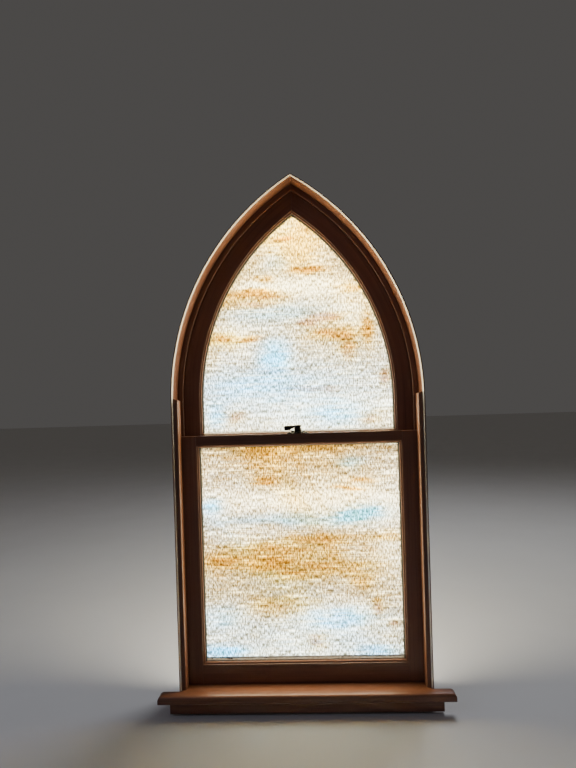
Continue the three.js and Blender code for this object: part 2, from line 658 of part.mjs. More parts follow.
addFrame();
SIDES.forEach(([name, side]) => addSideStop(name, side));
addSill();
addStool();
addApron();
addUpperSash();
addLowerSash();
addLockBase();
addLockLever();
addLockKeeper();

export default group;
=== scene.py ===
"""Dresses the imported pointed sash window: stained fir joinery, streaky art glass and a cast sash lock.

Lengths are metres in the frame's own axes: X to the right seen from the room, Y through the wall, Z up.
"""

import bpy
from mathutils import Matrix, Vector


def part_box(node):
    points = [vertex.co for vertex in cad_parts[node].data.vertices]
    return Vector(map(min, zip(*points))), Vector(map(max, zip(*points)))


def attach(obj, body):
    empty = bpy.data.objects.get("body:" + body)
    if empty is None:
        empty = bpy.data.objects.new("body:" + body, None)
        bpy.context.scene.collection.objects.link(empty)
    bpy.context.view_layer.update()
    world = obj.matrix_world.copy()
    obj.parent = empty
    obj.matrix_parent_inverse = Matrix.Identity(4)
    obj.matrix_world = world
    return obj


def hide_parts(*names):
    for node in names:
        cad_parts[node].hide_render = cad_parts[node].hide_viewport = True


bl_info = {
    "name": "Pointed Sash Window",
    "version": (1, 0, 0),
    "blender": (4, 5, 0),
    "location": "3D View > Sidebar > Window",
    "description": "Stained joinery, streaky art glass and a sash lock round a pointed window's frame",
    "category": "Add Mesh",
}

from math import pi, radians

import bpy
import numpy as np
from bpy.props import FloatProperty, FloatVectorProperty, PointerProperty
from mathutils import Matrix, Vector

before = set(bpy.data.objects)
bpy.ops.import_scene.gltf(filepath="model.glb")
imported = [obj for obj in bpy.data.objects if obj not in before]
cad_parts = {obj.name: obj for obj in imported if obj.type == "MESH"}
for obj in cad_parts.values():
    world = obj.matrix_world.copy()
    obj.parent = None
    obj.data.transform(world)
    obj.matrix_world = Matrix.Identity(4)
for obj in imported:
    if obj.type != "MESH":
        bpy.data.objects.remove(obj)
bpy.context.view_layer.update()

MM = 0.001
CM = 0.01
GAP = 0.3 * MM  # between neighbouring solids
SIDES = (("left", -1), ("right", 1))
GRAIN = "grain"  # the UV map, in metres: across the grain, then along it
PUTTY_REACH = 5.4 * MM  # of the broad putty along the lower pane, from the glass into the room
RIM_DEPTH = 8.6 * MM  # of the inner edge of a sash moulding, behind the face


# ---- Places read from the frame ------------------------------------------------------------------------


def low(node):
    return np.array(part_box(node)[0])


def high(node):
    return np.array(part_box(node)[1])


def arch_offset(node):
    """How far the arch's centre lies beyond the middle. A half arch springs at x = h and meets the middle,
    at x = g, at the rise r, on a circle about x = -c, so c = (r^2 - h^2 + g^2) / (2 (h - g))."""
    half, gap = high(node)[0], low(node)[0]
    rise = high(node)[2] - SPRING
    return (rise**2 - half**2 + gap**2) / (2 * (half - gap))


def sill_slope():
    """Fall of the sill's top for each metre outwards, from the feet of the parting beads and the stiles."""
    drop = low("parting_stop_right")[2] - low("lower_stile_right")[2]
    return drop / (high("lower_stile_right")[1] - low("parting_stop_right")[1])


SPRING = high("jamb_right")[2]
CENTRE = arch_offset("arch_right")
ROOM = low("edge_strip_right")[1]
REVEAL = high("side_stop_right")[0] + GAP
LOWER_FACE = low("lower_stile_right")[1]
UPPER_FACE = low("upper_stile_right")[1]
SASH_DEPTH = high("upper_stile_right")[1] - UPPER_FACE
RAIL_TOP = high("lower_meeting_rail")[2]
UPPER_RIM = high("upper_meeting_rail")[2]
UPPER_FACE_X = high("upper_meeting_rail")[0] + GAP
GLASS_X = low("lower_stile_right")[0]
GLASS_LOW = high("lower_bottom_rail")[2]
GLASS_HIGH = low("lower_meeting_rail")[2]


# ---- What a user may change ----------------------------------------------------------------------------


def rgb(code):
    """Linear red, green and blue of an sRGB hex colour."""
    values = np.array([int(code[i : i + 2], 16) for i in (0, 2, 4)]) / 255
    linear = np.where(values > 0.04045, ((values + 0.055) / 1.055) ** 2.4, values / 12.92)
    return tuple(float(v) for v in linear)


def length(name, description, default):
    return FloatProperty(name=name, description=description, default=default, unit="LENGTH", precision=5)


def power(name, description, default):
    return FloatProperty(name=name, description=description, default=default, unit="POWER")


def colour(name, description, code):
    return FloatVectorProperty(
        name=name, description=description, default=rgb(code), subtype="COLOR", min=0, max=1
    )


class WindowJoinery(bpy.types.PropertyGroup):
    """Sizes of the mouldings and edges that the frame's boxes don't give."""

    sticking: length("Sticking", "Width of the moulded edge of a sash member", 12 * MM)
    meeting_sticking: length("Meeting sticking", "Width of the meeting rail's moulded edge", 8.8 * MM)
    glass_depth: length("Glass depth", "Glass behind the face of its sash", 14.5 * MM)
    rebate: length("Rebate", "Outside rebate, from the face line", 4 * MM)
    ease: length("Eased edge", "Rounding of a sawn edge", 0.5 * MM)
    bead: length("Edge bead", "Width of the painted strip round the mouth", 3.4 * MM)
    putty: length("Putty", "Width of the thin putty beside the panes", 1.1 * MM)
    bottom_putty: length("Bottom putty", "Height of the broad putty under the lower pane", 8.6 * MM)
    stop_round: length("Stop rounding", "Radius on the stop's room corner", 5 * MM)
    stop_fall: length("Stop top fall", "Drop of the stop's top across its width", 6.6 * MM)
    jamb_mouth: length("Jamb mouth", "Thickness of a jamb at its room edge", 7 * MM)
    jamb_full: length("Jamb back", "Depth of a jamb's full thickness, from the outside", 33.6 * MM)


class WindowFinish(bpy.types.PropertyGroup):
    """Colours of the stain, the paint and the metal."""

    stain_dark: colour("Dark stain", "Late wood and pores under the varnish", "3c1f1b")
    stain_light: colour("Light stain", "Early wood under the varnish", "83573f")
    weather_dark: colour("Weathered dark", "Checks and damp in the outside wood", "33241c")
    weather_light: colour("Weathered light", "Dry outside wood", "7a5e49")
    paint: colour("Edge paint", "Off-white paint on the edge bead", "f4ebdf")
    bronze: colour("Bronze", "Patina of the lock", "191614")
    bronze_worn: colour("Worn bronze", "Rubbed edges of the lock", "3c3026")


class WindowGlass(bpy.types.PropertyGroup):
    """The streaky sheet."""

    white: colour("White", "Opal white of the sheet", "9a9790")
    clear: colour("Clear", "Bright streaks, where the opal is thin", "e8e8d8")
    straw: colour("Straw", "What thin silver-yellow lets through", "f3d66e")
    amber: colour("Amber", "What full silver-yellow lets through, over the thin", "d4b262")
    blue: colour("Blue", "Pale blue wisps", "5fb1ea")
    smoke: colour("Smoke", "Grey opal wisps", "797156")
    valley: colour("Valley", "What the hollows of the ripple let through", "6f6858")
    ripple_width: length("Ripple width", "Breadth of one hammered ripple", 5.5 * MM)
    ripple_height: length("Ripple height", "Length of one hammered ripple", 12 * MM)
    relief: length("Relief", "Depth of the hammered face", 0.7 * MM)


class WindowStudio(bpy.types.PropertyGroup):
    """Lamps and the even light."""

    glow: power("Glow", "Power of the lamp behind the panes", 6500)
    spill: power("Spill", "Power of the light that leaves each pane for the joinery", 13)
    key: power("Key", "Power of the soft lamp in the room", 8)
    outside: power("Outside", "Power of the soft lamp on the weather side", 60)
    air: FloatProperty(name="Air", description="Strength of the even light all round", default=0.08, min=0)


GROUPS = {
    "window_joinery": WindowJoinery,
    "window_finish": WindowFinish,
    "window_glass": WindowGlass,
    "window_studio": WindowStudio,
}


# ---- Outlines and solids -------------------------------------------------------------------------------


def eased(outline, radius, steps=4):
    """Rounds the corners of a closed outline. A corner p whose unit directions to its neighbours are a and
    b becomes the curve p + r ((1 - s)^2 a + s^2 b) as s goes from 0 to 1. A radius of 0 keeps a corner."""
    p = np.asarray(outline, float)
    before, after = np.roll(p, 1, axis=0) - p, np.roll(p, -1, axis=0) - p
    reach = np.minimum(np.hypot(*before.T), np.hypot(*after.T))
    r = np.minimum(np.broadcast_to(radius, reach.shape), 0.45 * reach)[:, None, None]
    a = before / np.hypot(*before.T)[:, None]
    b = after / np.hypot(*after.T)[:, None]
    s = np.linspace(0, 1, steps)[None, :, None]
    curve = p[:, None] + r * ((1 - s) ** 2 * a[:, None] + s**2 * b[:, None])
    keep = (r[..., 0] > 0) | (np.arange(steps) == 0)
    return curve[keep]


def arc(u, v, radius, start, end, steps):
    """Points u + r cos t, v + r sin t for t between two angles in degrees, both ends included."""
    t = np.radians(np.linspace(start, end, steps + 1))
    return np.stack([u + radius * np.cos(t), v + radius * np.sin(t)], axis=1)


def between(first, second):
    """Four-sided faces between rows of point numbers and the next rows."""
    faces = np.stack([first, np.roll(first, -1, axis=-1), np.roll(second, -1, axis=-1), second], axis=-1)
    return faces.reshape(-1, 4).tolist()


def carried(rows):
    """A closed solid: an outline carried along stations, with both ends closed."""
    index = np.arange(rows[..., 0].size).reshape(rows.shape[:2])
    caps = [index[0][::-1].tolist(), index[-1].tolist()]
    return rows.reshape(-1, 3), between(index[:-1], index[1:]) + caps


def sash_member(rows, moulded, shoulders):
    """A sash member's closed solid. Its outline starts at the outer edge, and the flags in moulded mark the
    run from the face line round the moulding to the back. An end in shoulders, a dict from 0 or -1 to two
    points on the face line, front and back, has its flat part running on past the mitre of the moulding."""
    stations, corners = rows.shape[:2]
    index = np.arange(stations * corners).reshape(stations, corners)
    faces = between(index[:-1], index[1:])
    front, back = np.flatnonzero(moulded)[[0, -1]]
    points = [rows.reshape(-1, 3)]
    extra = {}
    for count, (end, pair) in enumerate(shoulders.items()):
        first = stations * corners + 2 * count
        extra[end] = (first, first + 1)
        points.append(np.asarray(pair))
    for end in (0, -1):
        ring = index[end].tolist()
        flat = ring[back + 1 :] + ring[:front]
        mitre = ring[front : back + 1]
        near, far = extra.get(end, (ring[front], ring[back]))
        caps = [[far, *flat, near], mitre]
        if end in extra:
            caps.append([far, near, ring[front], ring[back]])
            row = 0 if end == 0 else stations - 2
            for corner, vertex in ((front - 1, near), (back, far)):
                face = faces[row * corners + corner]
                at = face.index(ring[front] if corner == front - 1 else ring[back])
                following = (end == 0) == (corner == back)
                face.insert(at + 1 if following else at, vertex)
        faces += [cap[::-1] for cap in caps] if end == 0 else caps
    return np.concatenate(points), faces


def joined(*solids):
    """Several closed solids as the points and faces of one mesh."""
    points, faces, count = [], [], 0
    for own_points, own_faces in solids:
        points.append(own_points)
        faces += [[i + count for i in face] for face in own_faces]
        count += len(own_points)
    return np.concatenate(points), faces


def places(mesh):
    co = np.empty(len(mesh.vertices) * 3, np.float32)
    mesh.vertices.foreach_get("co", co)
    return co.reshape(-1, 3).astype(float)


def enclosed(mesh):
    """Six times the volume inside a mesh, from its triangles: the sum of a . (b x c)."""
    mesh.calc_loop_triangles()
    triangles = np.empty(len(mesh.loop_triangles) * 3, np.int32)
    mesh.loop_triangles.foreach_get("vertices", triangles)
    a, b, c = places(mesh)[triangles].reshape(-1, 3, 3).transpose(1, 0, 2)
    return float(np.einsum("ij,ij->", a, np.cross(b, c)))


def lay_grain(mesh, along):
    """Gives each corner its place in the wood, in metres, with a start of its own for each piece. Along z
    or x the grain is straight. Along the arch it follows the curve: across is the distance from the arch's
    centre, and the run is the radius times the angle above the springing line, or the plain height."""
    x, y, z = places(mesh).T
    if along == "arch":
        above = np.maximum(z - SPRING, 0)
        out = np.abs(x) + CENTRE
        over = np.hypot(out, above) + y
        run = np.minimum(z, SPRING) + (REVEAL + CENTRE) * np.arctan2(above, out)
    else:
        over, run = (x + y, z) if along == "z" else (y + z, x)
    start = 0.173 * len(bpy.data.meshes)
    corner = np.empty(len(mesh.loops), np.int32)
    mesh.loops.foreach_get("vertex_index", corner)
    uv = np.stack([over[corner] + start, run[corner] + 3.7 * start], axis=1)
    mesh.uv_layers.new(name=GRAIN).data.foreach_set("uv", uv.ravel().astype(np.float32))


def add_object(name, data):
    thing = bpy.data.objects.new(name, data)
    bpy.context.scene.collection.objects.link(thing)
    return thing


def settle(piece, body, nodes, along, sharp):
    """Smooths a piece but for its sharp edges, lays its grain and puts it on its body and in
    the place of the plain solids it stands for."""
    piece.data.shade_smooth()
    piece.data.set_sharp_from_angle(angle=radians(sharp))
    if along is not None:
        lay_grain(piece.data, along)
    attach(piece, body)
    if nodes:
        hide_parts(*nodes)
    return piece


def make_piece(name, solid, finish, body="root", nodes=(), along=None, sharp=32):
    """One finished piece from the points and faces of a closed solid, with its faces outwards."""
    points, faces = solid
    mesh = bpy.data.meshes.new(name)
    mesh.from_pydata(np.asarray(points).tolist(), [], faces)
    if enclosed(mesh) < 0:
        mesh.flip_normals()
    mesh.materials.append(MATERIALS[finish])
    return settle(add_object(name, mesh), body, nodes, along, sharp)


def wooden(node, solid, body="root", along="z", finish="stained_wood"):
    return make_piece(f"{node}_wood", solid, finish, body, [node], along)


def tidy_copy(node, made_of, ease, finish, body="root", along=None):
    """A copy of a CAD solid with its doubled points merged, its flat faces joined and its edges eased."""
    name = f"{node}_{made_of}"
    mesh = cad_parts[node].data.copy()
    mesh.materials.clear()
    mesh.materials.append(MATERIALS[finish])
    piece = add_object(name, mesh)
    weld = piece.modifiers.new("merge", "WELD")
    weld.merge_threshold = 0.01 * MM
    flat = piece.modifiers.new("join", "DECIMATE")
    flat.decimate_type = "DISSOLVE"
    flat.angle_limit = radians(1)
    bevel = piece.modifiers.new("ease", "BEVEL")
    bevel.width, bevel.segments = ease, 3
    bevel.limit_method, bevel.angle_limit = "ANGLE", radians(30)
    graph = bpy.context.evaluated_depsgraph_get()
    finished = bpy.data.meshes.new_from_object(piece.evaluated_get(graph))
    piece.modifiers.clear()
    piece.data = finished
    finished.name = name
    if along is not None:
        for layer in list(finished.uv_layers):
            finished.uv_layers.remove(layer)
    return settle(piece, body, [node], along, 40)


def upright(section, start, end):
    """Rows of an outline of (x, y) points from one height to another, which may differ by point."""
    ends = [np.broadcast_to(h, len(section)) for h in (start, end)]
    return np.stack([np.column_stack([section, h]) for h in ends])


def across(section, reach):
    """Rows of an outline of (y, z) points from -reach to reach, which may differ by point."""
    ends = [np.broadcast_to(x, len(section)) for x in (-reach, reach)]
    return np.stack([np.column_stack([x, section]) for x in ends])


def round_arch(section, side, foot=None, steps=56):
    """Rows of an outline of (radius, y) points round half the arch: x = r cos t - c, z = spring + r sin t,
    where each point stops at its own mitre angle, acos((c + gap / 2) / r). With a foot, which may differ
    from point to point, the rows first rise straight from it to the springing line."""
    radius, y = section.T
    share = np.linspace(0, 1, steps + 1)[:, None]
    begin = 0 if foot is not None else np.arcsin(GAP / radius)
    angle = begin + (np.arccos((CENTRE + GAP / 2) / radius) - begin) * share
    x = side * (radius * np.cos(angle) - CENTRE)
    z = SPRING + radius * np.sin(angle)
    rows = np.stack([x, np.broadcast_to(y, x.shape), z], axis=-1)
    if foot is not None:
        level = np.broadcast_to(foot, radius.shape)
        rows = np.concatenate([np.column_stack([side * (radius - CENTRE), y, level])[None], rows])
    return rows


# ---- Materials -----------------------------------------------------------------------------------------


def add_node(tree, kind, inputs=None, **settings):
    """Adds one node. An input is set to a value, or linked where the value is another node's output."""
    node = tree.nodes.new(kind)
    for name, value in settings.items():
        setattr(node, name, value)
    for socket, value in (inputs or {}).items():
        if isinstance(value, bpy.types.NodeSocket):
            tree.links.new(value, node.inputs[socket])
        else:
            node.inputs[socket].default_value = value
    return node


def new_material(name, uv_map=None):
    """A material, its empty node tree and the output of its coordinates: those of a UV map, or the place
    in the object."""
    material = bpy.data.materials.new(name)
    material.use_nodes = True
    tree = material.node_tree
    tree.nodes.clear()
    if uv_map is None:
        return material, tree, add_node(tree, "ShaderNodeTexCoord").outputs["Object"]
    return material, tree, add_node(tree, "ShaderNodeUVMap", uv_map=uv_map).outputs[0]


def pattern(tree, source, cell, detail=3.0, roughness=0.55, distortion=0.0):
    """Noise whose cells have the given size in metres along each axis of a coordinate output."""
    scale = tuple(1 / c for c in cell)
    mapped = add_node(tree, "ShaderNodeMapping", {"Vector": source, "Scale": scale})
    inputs = {
        "Vector": mapped.outputs[0],
        "Scale": 1.0,
        "Detail": detail,
        "Roughness": roughness,
        "Distortion": distortion,
    }
    return add_node(tree, "ShaderNodeTexNoise", inputs).outputs[0]


def ramped(tree, value, *spans):
    """A value as it is, or the product of its ramps. A ramp, (start, end, floor, top), goes smoothly from
    floor to top while the value goes from start to end."""
    product = value
    for count, span in enumerate(spans):
        inputs = dict(enumerate((value, *span)))
        ramp = add_node(tree, "ShaderNodeMapRange", inputs, interpolation_type="SMOOTHSTEP").outputs[0]
        if count == 0:
            product = ramp
        else:
            inputs = {0: product, 1: ramp}
            product = add_node(tree, "ShaderNodeMath", inputs, operation="MULTIPLY").outputs[0]
    return product


def layered(tree, base, *layers):
    """Layers of colour over a base. Each is (colour, blend, value, ramps), and ramped gives its share."""
    below = (*base, 1)
    for colour, blend, value, *spans in layers:
        inputs = {0: ramped(tree, value, *spans), 6: below, 7: (*colour, 1)}
        below = add_node(tree, "ShaderNodeMix", inputs, data_type="RGBA", blend_type=blend).outputs[2]
    return below


def surface(tree, colour, roughness, relief=None, more=None, gloss=None):
    """Ends a material in one surface. Relief is the height, strength and depth of its bump. With a share of
    gloss, the rest of the light passes through scattered."""
    inputs = {"Base Color": colour, "Roughness": roughness, **(more or {})}
    if relief is not None:
        bump = dict(zip(("Height", "Strength", "Distance"), relief))
        inputs["Normal"] = add_node(tree, "ShaderNodeBump", bump).outputs[0]
    shader = add_node(tree, "ShaderNodeBsdfPrincipled", inputs).outputs[0]
    if gloss is not None:
        scattered = add_node(tree, "ShaderNodeBsdfTranslucent", {"Color": colour}).outputs[0]
        shader = add_node(tree, "ShaderNodeMixShader", {0: gloss, 1: scattered, 2: shader}).outputs[0]
    add_node(tree, "ShaderNodeOutputMaterial", {"Surface": shader})


def varnished_fir(finish, name="varnished_fir", dulling=0.0):
    """Stained fir under satin varnish: long light and dark growth bands 25 mm wide, finer late-wood lines
    of 4 mm and short pores, red-brown stain gone uneven, and a film that mirrors softly. Dulling is what
    hands and dust add to its roughness, where the film no longer mirrors."""
    material, tree, grain = new_material(name, GRAIN)
    bands = pattern(tree, grain, (25 * MM, 0.9, 1), detail=2, distortion=0.4)
    lines = pattern(tree, grain, (4 * MM, 0.45, 1), detail=4, roughness=0.6)
    pores = pattern(tree, grain, (1.1 * MM, 22 * MM, 1), detail=2)
    patches = pattern(tree, grain, (0.12, 0.3, 1), detail=3)
    body = layered(
        tree,
        finish.stain_light,
        (finish.stain_dark, "MIX", bands, (0.3, 0.75, 0.3, 0.6)),
        (finish.stain_dark, "MIX", lines, (0.45, 0.75, 0, 0.5)),
        (rgb("2a120c"), "MIX", pores, (0.55, 0.8, 0, 0.35)),
        (rgb("5e2c1c"), "MIX", patches, (0.4, 0.8, 0, 0.3)),
    )
    roughness = ramped(tree, patches, (0.3, 0.7, 0.34 + dulling, 0.5 + dulling))
    height = add_node(tree, "ShaderNodeMath", {0: lines, 1: pores}, operation="ADD").outputs[0]
    film = {"IOR": 1.45, "Coat Weight": 0.0 if dulling else 0.2, "Coat Roughness": 0.22}
    surface(tree, body, roughness, (height, 0.15, 0.15 * MM), film)
    return material


def weathered_fir(finish):
    """The same fir on the weather side: stain bleached in streaks, checks 2 mm wide along the grain that
    hold dirt, and no film left to shine."""
    material, tree, grain = new_material("weathered_fir", GRAIN)
    bleach = pattern(tree, grain, (18 * MM, 0.35, 1), detail=4, roughness=0.65)
    checks = pattern(tree, grain, (2 * MM, 0.1, 1), detail=3, roughness=0.7)
    body = layered(
        tree,
        finish.weather_dark,
        (finish.weather_light, "MIX", bleach, (0.35, 0.65, 0, 1)),
        (rgb("1c130e"), "MIX", checks, (0.56, 0.7, 0, 0.85)),
    )
    roughness = ramped(tree, bleach, (0.3, 0.7, 0.62, 0.85))
    surface(tree, body, roughness, (checks, 0.5, 0.5 * MM), {"IOR": 1.5})
    return material


def off_white_paint(finish):
    """Brushed off-white oil paint: brush marks 1.5 mm apart, a little grime, and a painted shade of grey,
    which sets in 0.98 m above the origin, beside the meeting rails, where the stops shade the bead, and
    thins out towards the stool."""
    material, tree, grain = new_material("off_white_paint", GRAIN)
    brush = pattern(tree, grain, (1.5 * MM, 60 * MM, 1), detail=2)
    grime = pattern(tree, grain, (30 * MM, 90 * MM, 1), detail=5, roughness=0.65)
    place = add_node(tree, "ShaderNodeTexCoord").outputs["Object"]
    height = add_node(tree, "ShaderNodeSeparateXYZ", {0: place}).outputs[2]
    body = layered(
        tree,
        finish.paint,
        (rgb("b3a48a"), "MIX", grime, (0.45, 0.85, 0, 0.45)),
        # painted shade: grey on the bead by height, from 0.98 m down, for the shade the stops cast on it
        (rgb("837f7c"), "MIX", height, (0.98, 0.91, 0, 0.9), (0.35, 0.8, 0.1, 1)),
    )
    roughness = ramped(tree, grime, (0.3, 0.7, 0.4, 0.6))
    surface(tree, body, roughness, (brush, 0.2, 0.2 * MM), {"IOR": 1.5})
    return material


def oil_rubbed_bronze(finish):
    """Cast bronze with a near-black oiled patina: faint sand-cast grit 0.8 mm across and brown places
    20 mm across where hands have rubbed it."""
    material, tree, place = new_material("oil_rubbed_bronze")
    grit = pattern(tree, place, (0.8 * MM,) * 3, detail=2)
    rubbed = pattern(tree, place, (20 * MM,) * 3, detail=3)
    body = layered(tree, finish.bronze, (finish.bronze_worn, "MIX", rubbed, (0.5, 0.8, 0, 0.6)))
    roughness = ramped(tree, rubbed, (0.3, 0.8, 0.62, 0.46))
    surface(tree, body, roughness, (grit, 0.2, 0.1 * MM), {"Metallic": 1.0})
    return material


def streaky_art_glass(glass):
    """Machine-rolled streaky opal sheet: white opal with silver-yellow and pale blue pulled through it,
    which passes light scattered, so it glows, under a hammered face that glints. The broad streaks come as
    attributes of the pane. Upright hollows 4 mm wide and 11 mm high hold light back, and through the sheet
    run bright threads 5 mm high, faint yellow ones 8 mm high, warm flecks 6 mm high and dark wisps 3 mm
    high."""
    material, tree, place = new_material("streaky_art_glass")
    hollows = pattern(tree, place, (4.2 * MM, 1, 11 * MM), detail=2, roughness=0.55)
    wisps = pattern(tree, place, (80 * MM, 1, 3.2 * MM), detail=3, roughness=0.6, distortion=0.3)
    threads = pattern(tree, place, (110 * MM, 1, 5 * MM), detail=2, distortion=0.4)
    blush = pattern(tree, place, (60 * MM, 1, 8 * MM), detail=4, roughness=0.65)
    flecks = pattern(tree, place, (18 * MM, 1, 6 * MM), detail=3, roughness=0.6)
    streak = {
        name: add_node(tree, "ShaderNodeAttribute", attribute_name=name).outputs["Fac"]
        for name in UPPER_STREAKS
    }
    both = add_node(tree, "ShaderNodeMath", {0: streak["straw"], 1: streak["amber"]}, operation="ADD")
    body = layered(
        tree,
        glass.white,
        (glass.straw, "MULTIPLY", blush, (0.42, 0.7, 0, 0.6)),
        (glass.amber, "MULTIPLY", flecks, (0.48, 0.7, 0, 0.45)),
        (glass.clear, "MIX", streak["clear"]),
        (glass.clear, "MIX", threads, (0.5, 0.74, 0, 0.7)),
        (glass.smoke, "MIX", streak["smoke"]),
        (glass.straw, "MULTIPLY", both.outputs[0], (-0.05, 0.85, 0, 0.95)),
        (glass.amber, "MULTIPLY", streak["amber"], (0.1, 0.9, 0, 1)),
        (glass.blue, "MIX", streak["blue"]),
        (glass.valley, "MULTIPLY", wisps, (0.5, 0.7, 0, 0.4)),
        (glass.valley, "MULTIPLY", hollows, (0.77, 0.34, 0, 1)),
    )
    surface(tree, body, 0.12, (hollows, 0.4, 0.6 * MM), {"IOR": 1.5}, gloss=0.3)
    return material


def mottled(name, code, other, share, cell, roughness):
    """A plain matt stuff, such as dirt, old putty, near-black putty that stands in as painted shade, the
    shadow in a crack or the studio's paper: one colour mottled with another in cells of the given size.
    Without a ramp in share, the noise is the share."""
    material, tree, place = new_material(name)
    mottle = pattern(tree, place, (cell,) * 3, detail=3 if share else 2)
    body = layered(tree, rgb(code), (rgb(other), "MIX", mottle, *share))
    surface(tree, body, roughness)
    return material


MATERIALS = {}


def mix_materials(finish, glass):
    blotched = [(0.35, 0.75, 0, 0.6)]
    MATERIALS["stained_wood"] = varnished_fir(finish)
    MATERIALS["weathered_wood"] = weathered_fir(finish)
    MATERIALS["pale_paint"] = off_white_paint(finish)
    MATERIALS["dark_bronze"] = oil_rubbed_bronze(finish)
    MATERIALS["art_glass"] = streaky_art_glass(glass)
    MATERIALS["rail_wood"] = varnished_fir(finish, "rubbed_fir", 0.3)
    MATERIALS["dirt"] = mottled("window_dirt", "241b14", "57483a", blotched, 3 * MM, 0.9)
    MATERIALS["crack"] = mottled("crack_shadow", "2b2720", "57483a", blotched, 3 * MM, 0.7)
    # painted shade: the near-black putty stands for the shade in the joint between glass and moulding
    MATERIALS["stained_putty"] = mottled("stained_putty", "0f0a08", "20150f", blotched, 3 * MM, 0.9)
    MATERIALS["pale_putty"] = mottled("pale_putty", "c9bbae", "8a7868", blotched, 6 * MM, 0.85)
    MATERIALS["paper"] = mottled("pale_floor", "dedbd6", "e6e3df", [], 0.4, 0.8)


# ---- Frame ---------------------------------------------------------------------------------------------


def jamb_outline(sizes):
    """Outline of jamb and arch as (radius, y): thin at the mouth, thick behind, a stop outside the sash."""
    inner, face, _ = low("jamb_right") + (CENTRE, 0, 0)
    outer, back, _ = high("jamb_right") + (CENTRE, 0, 0)
    reveal = REVEAL + CENTRE
    rebate = high("upper_stile_right")[1] + GAP
    room_side = [(reveal, face), (reveal + sizes.jamb_mouth, face), (outer, back - sizes.jamb_full)]
    corners = [*room_side, (outer, back), (inner, back), (inner, rebate), (reveal, rebate)]
    return eased(corners, [0, 0, 1 * MM, 1.5 * MM, 1.5 * MM, 1 * MM, 0])


def edge_outline(sizes):
    """The painted bead as (radius, y): a chamfer from the reveal to the wall between two narrow flats."""
    outer, back, _ = high("edge_strip_right") + (CENTRE, 0, 0)
    inner, flat = outer - sizes.bead, 0.8 * MM
    corners = [(inner, back), (inner, back - flat), (outer - flat, ROOM), (outer, ROOM), (outer, back)]
    return eased(corners, [0, 0.5 * MM, 0.5 * MM, 0.2 * MM, 0])


def parting_outline():
    """The parting bead as (radius, y), bevelled at its inner edges."""
    inner, face, _ = low("parting_stop_right") + (CENTRE, 0, 0)
    outer, back, _ = high("parting_stop_right") + (CENTRE, 0, 0)
    bevel = 1 * MM
    corners = [(outer, face), (inner + bevel, face), (inner, face + bevel), (inner, back), (outer, back)]
    return eased(corners, [0, 0.5 * MM, 0.5 * MM, 0, 0])


def from_middle(outline, side):
    """Turns (radius, y) points into (x, y) points at the springing line."""
    return np.column_stack([side * (outline[:, 0] - CENTRE), outline[:, 1]])


def build_frame(sizes):
    jamb, parting, edge = jamb_outline(sizes), parting_outline(), edge_outline(sizes)
    for name, side in SIDES:
        post = upright(from_middle(jamb, side), low("jamb_right")[2], SPRING)
        bead = upright(from_middle(parting, side), low("parting_stop_right")[2], SPRING)
        strip = round_arch(edge, side, low("edge_strip_right")[2])
        wooden(f"jamb_{name}", carried(post))
        wooden(f"arch_{name}", carried(round_arch(jamb, side)), along="arch")
        wooden(f"parting_stop_{name}", carried(bead))
        wooden(f"parting_arch_{name}", carried(round_arch(parting, side)), along="arch")
        node = f"edge_strip_{name}"
        make_piece(f"{node}_paint", carried(strip), "pale_paint", nodes=[node], along="arch")


def build_stops(sizes):
    """The stops that hold the lower sash: a round corner to the room and a top that falls inwards."""
    inner, face, foot = low("side_stop_right")
    outer, back, top = high("side_stop_right")
    r = sizes.stop_round
    corner = arc(inner + r, face + r, r, 180, 270, 8)
    outline = np.concatenate([[(outer, face), (outer, back), (inner, back)], corner])
    fall = sizes.stop_fall * (outer - outline[:, 0]) / (outer - inner)
    for name, side in SIDES:
        rows = upright(outline * (side, 1), foot, top - fall)
        wooden(f"side_stop_{name}", carried(rows))


def build_sill_and_stool():
    tidy_copy("stool", "wood", 1.2 * MM, "stained_wood", along="x")
    tidy_copy("sill", "wood", 1.5 * MM, "weathered_wood", along="x")
    (_, front, foot), (reach, back, top) = low("apron"), high("apron")
    bevel = 2 * MM
    corners = [(back, foot), (back, top), (front, top), (front, foot + bevel), (front + bevel, foot)]
    outline = eased(corners, [0, 0, 0.6 * MM, 1.2 * MM, 1.2 * MM])
    wooden("apron", carried(across(outline, reach)), along="x")


# ---- Sashes --------------------------------------------------------------------------------------------


def sash_outline(sizes, outer, width):
    """A sash member as (way towards the glass, depth behind the face), from its outer edge at way outer: a
    flat, a small bevel, a quarter-round ovolo, a slope to the ledge by the glass and the outside rebate."""
    ledge = sizes.glass_depth - GAP
    ease = sizes.ease
    bevel = [(0, 0), (2.1 * MM, 0), (2.8 * MM, 1.6 * MM)]
    ovolo = arc(4.4 * MM, 7.2 * MM, 5.2 * MM, -90, -30, 6)
    inside = [(sizes.sticking, RIM_DEPTH), (sizes.sticking, ledge), (sizes.rebate, ledge)]
    moulded = np.concatenate([bevel, ovolo, inside, [(sizes.rebate, SASH_DEPTH), (0, SASH_DEPTH)]])
    moulded *= (width / sizes.sticking, 1)
    face = [(outer, ease), (outer + ease, 0)]
    back = [(outer + ease, SASH_DEPTH), (outer, SASH_DEPTH - ease)]
    flags = np.r_[False, False, np.ones(len(moulded), bool), False, False]
    return np.concatenate([face, moulded, back]), flags


def slope(outline, run, rise):
    """Height gained by each moulded point on the mitre: rise for each run of way, nothing on the flat."""
    return np.maximum(outline[:, 0], 0) * rise / run


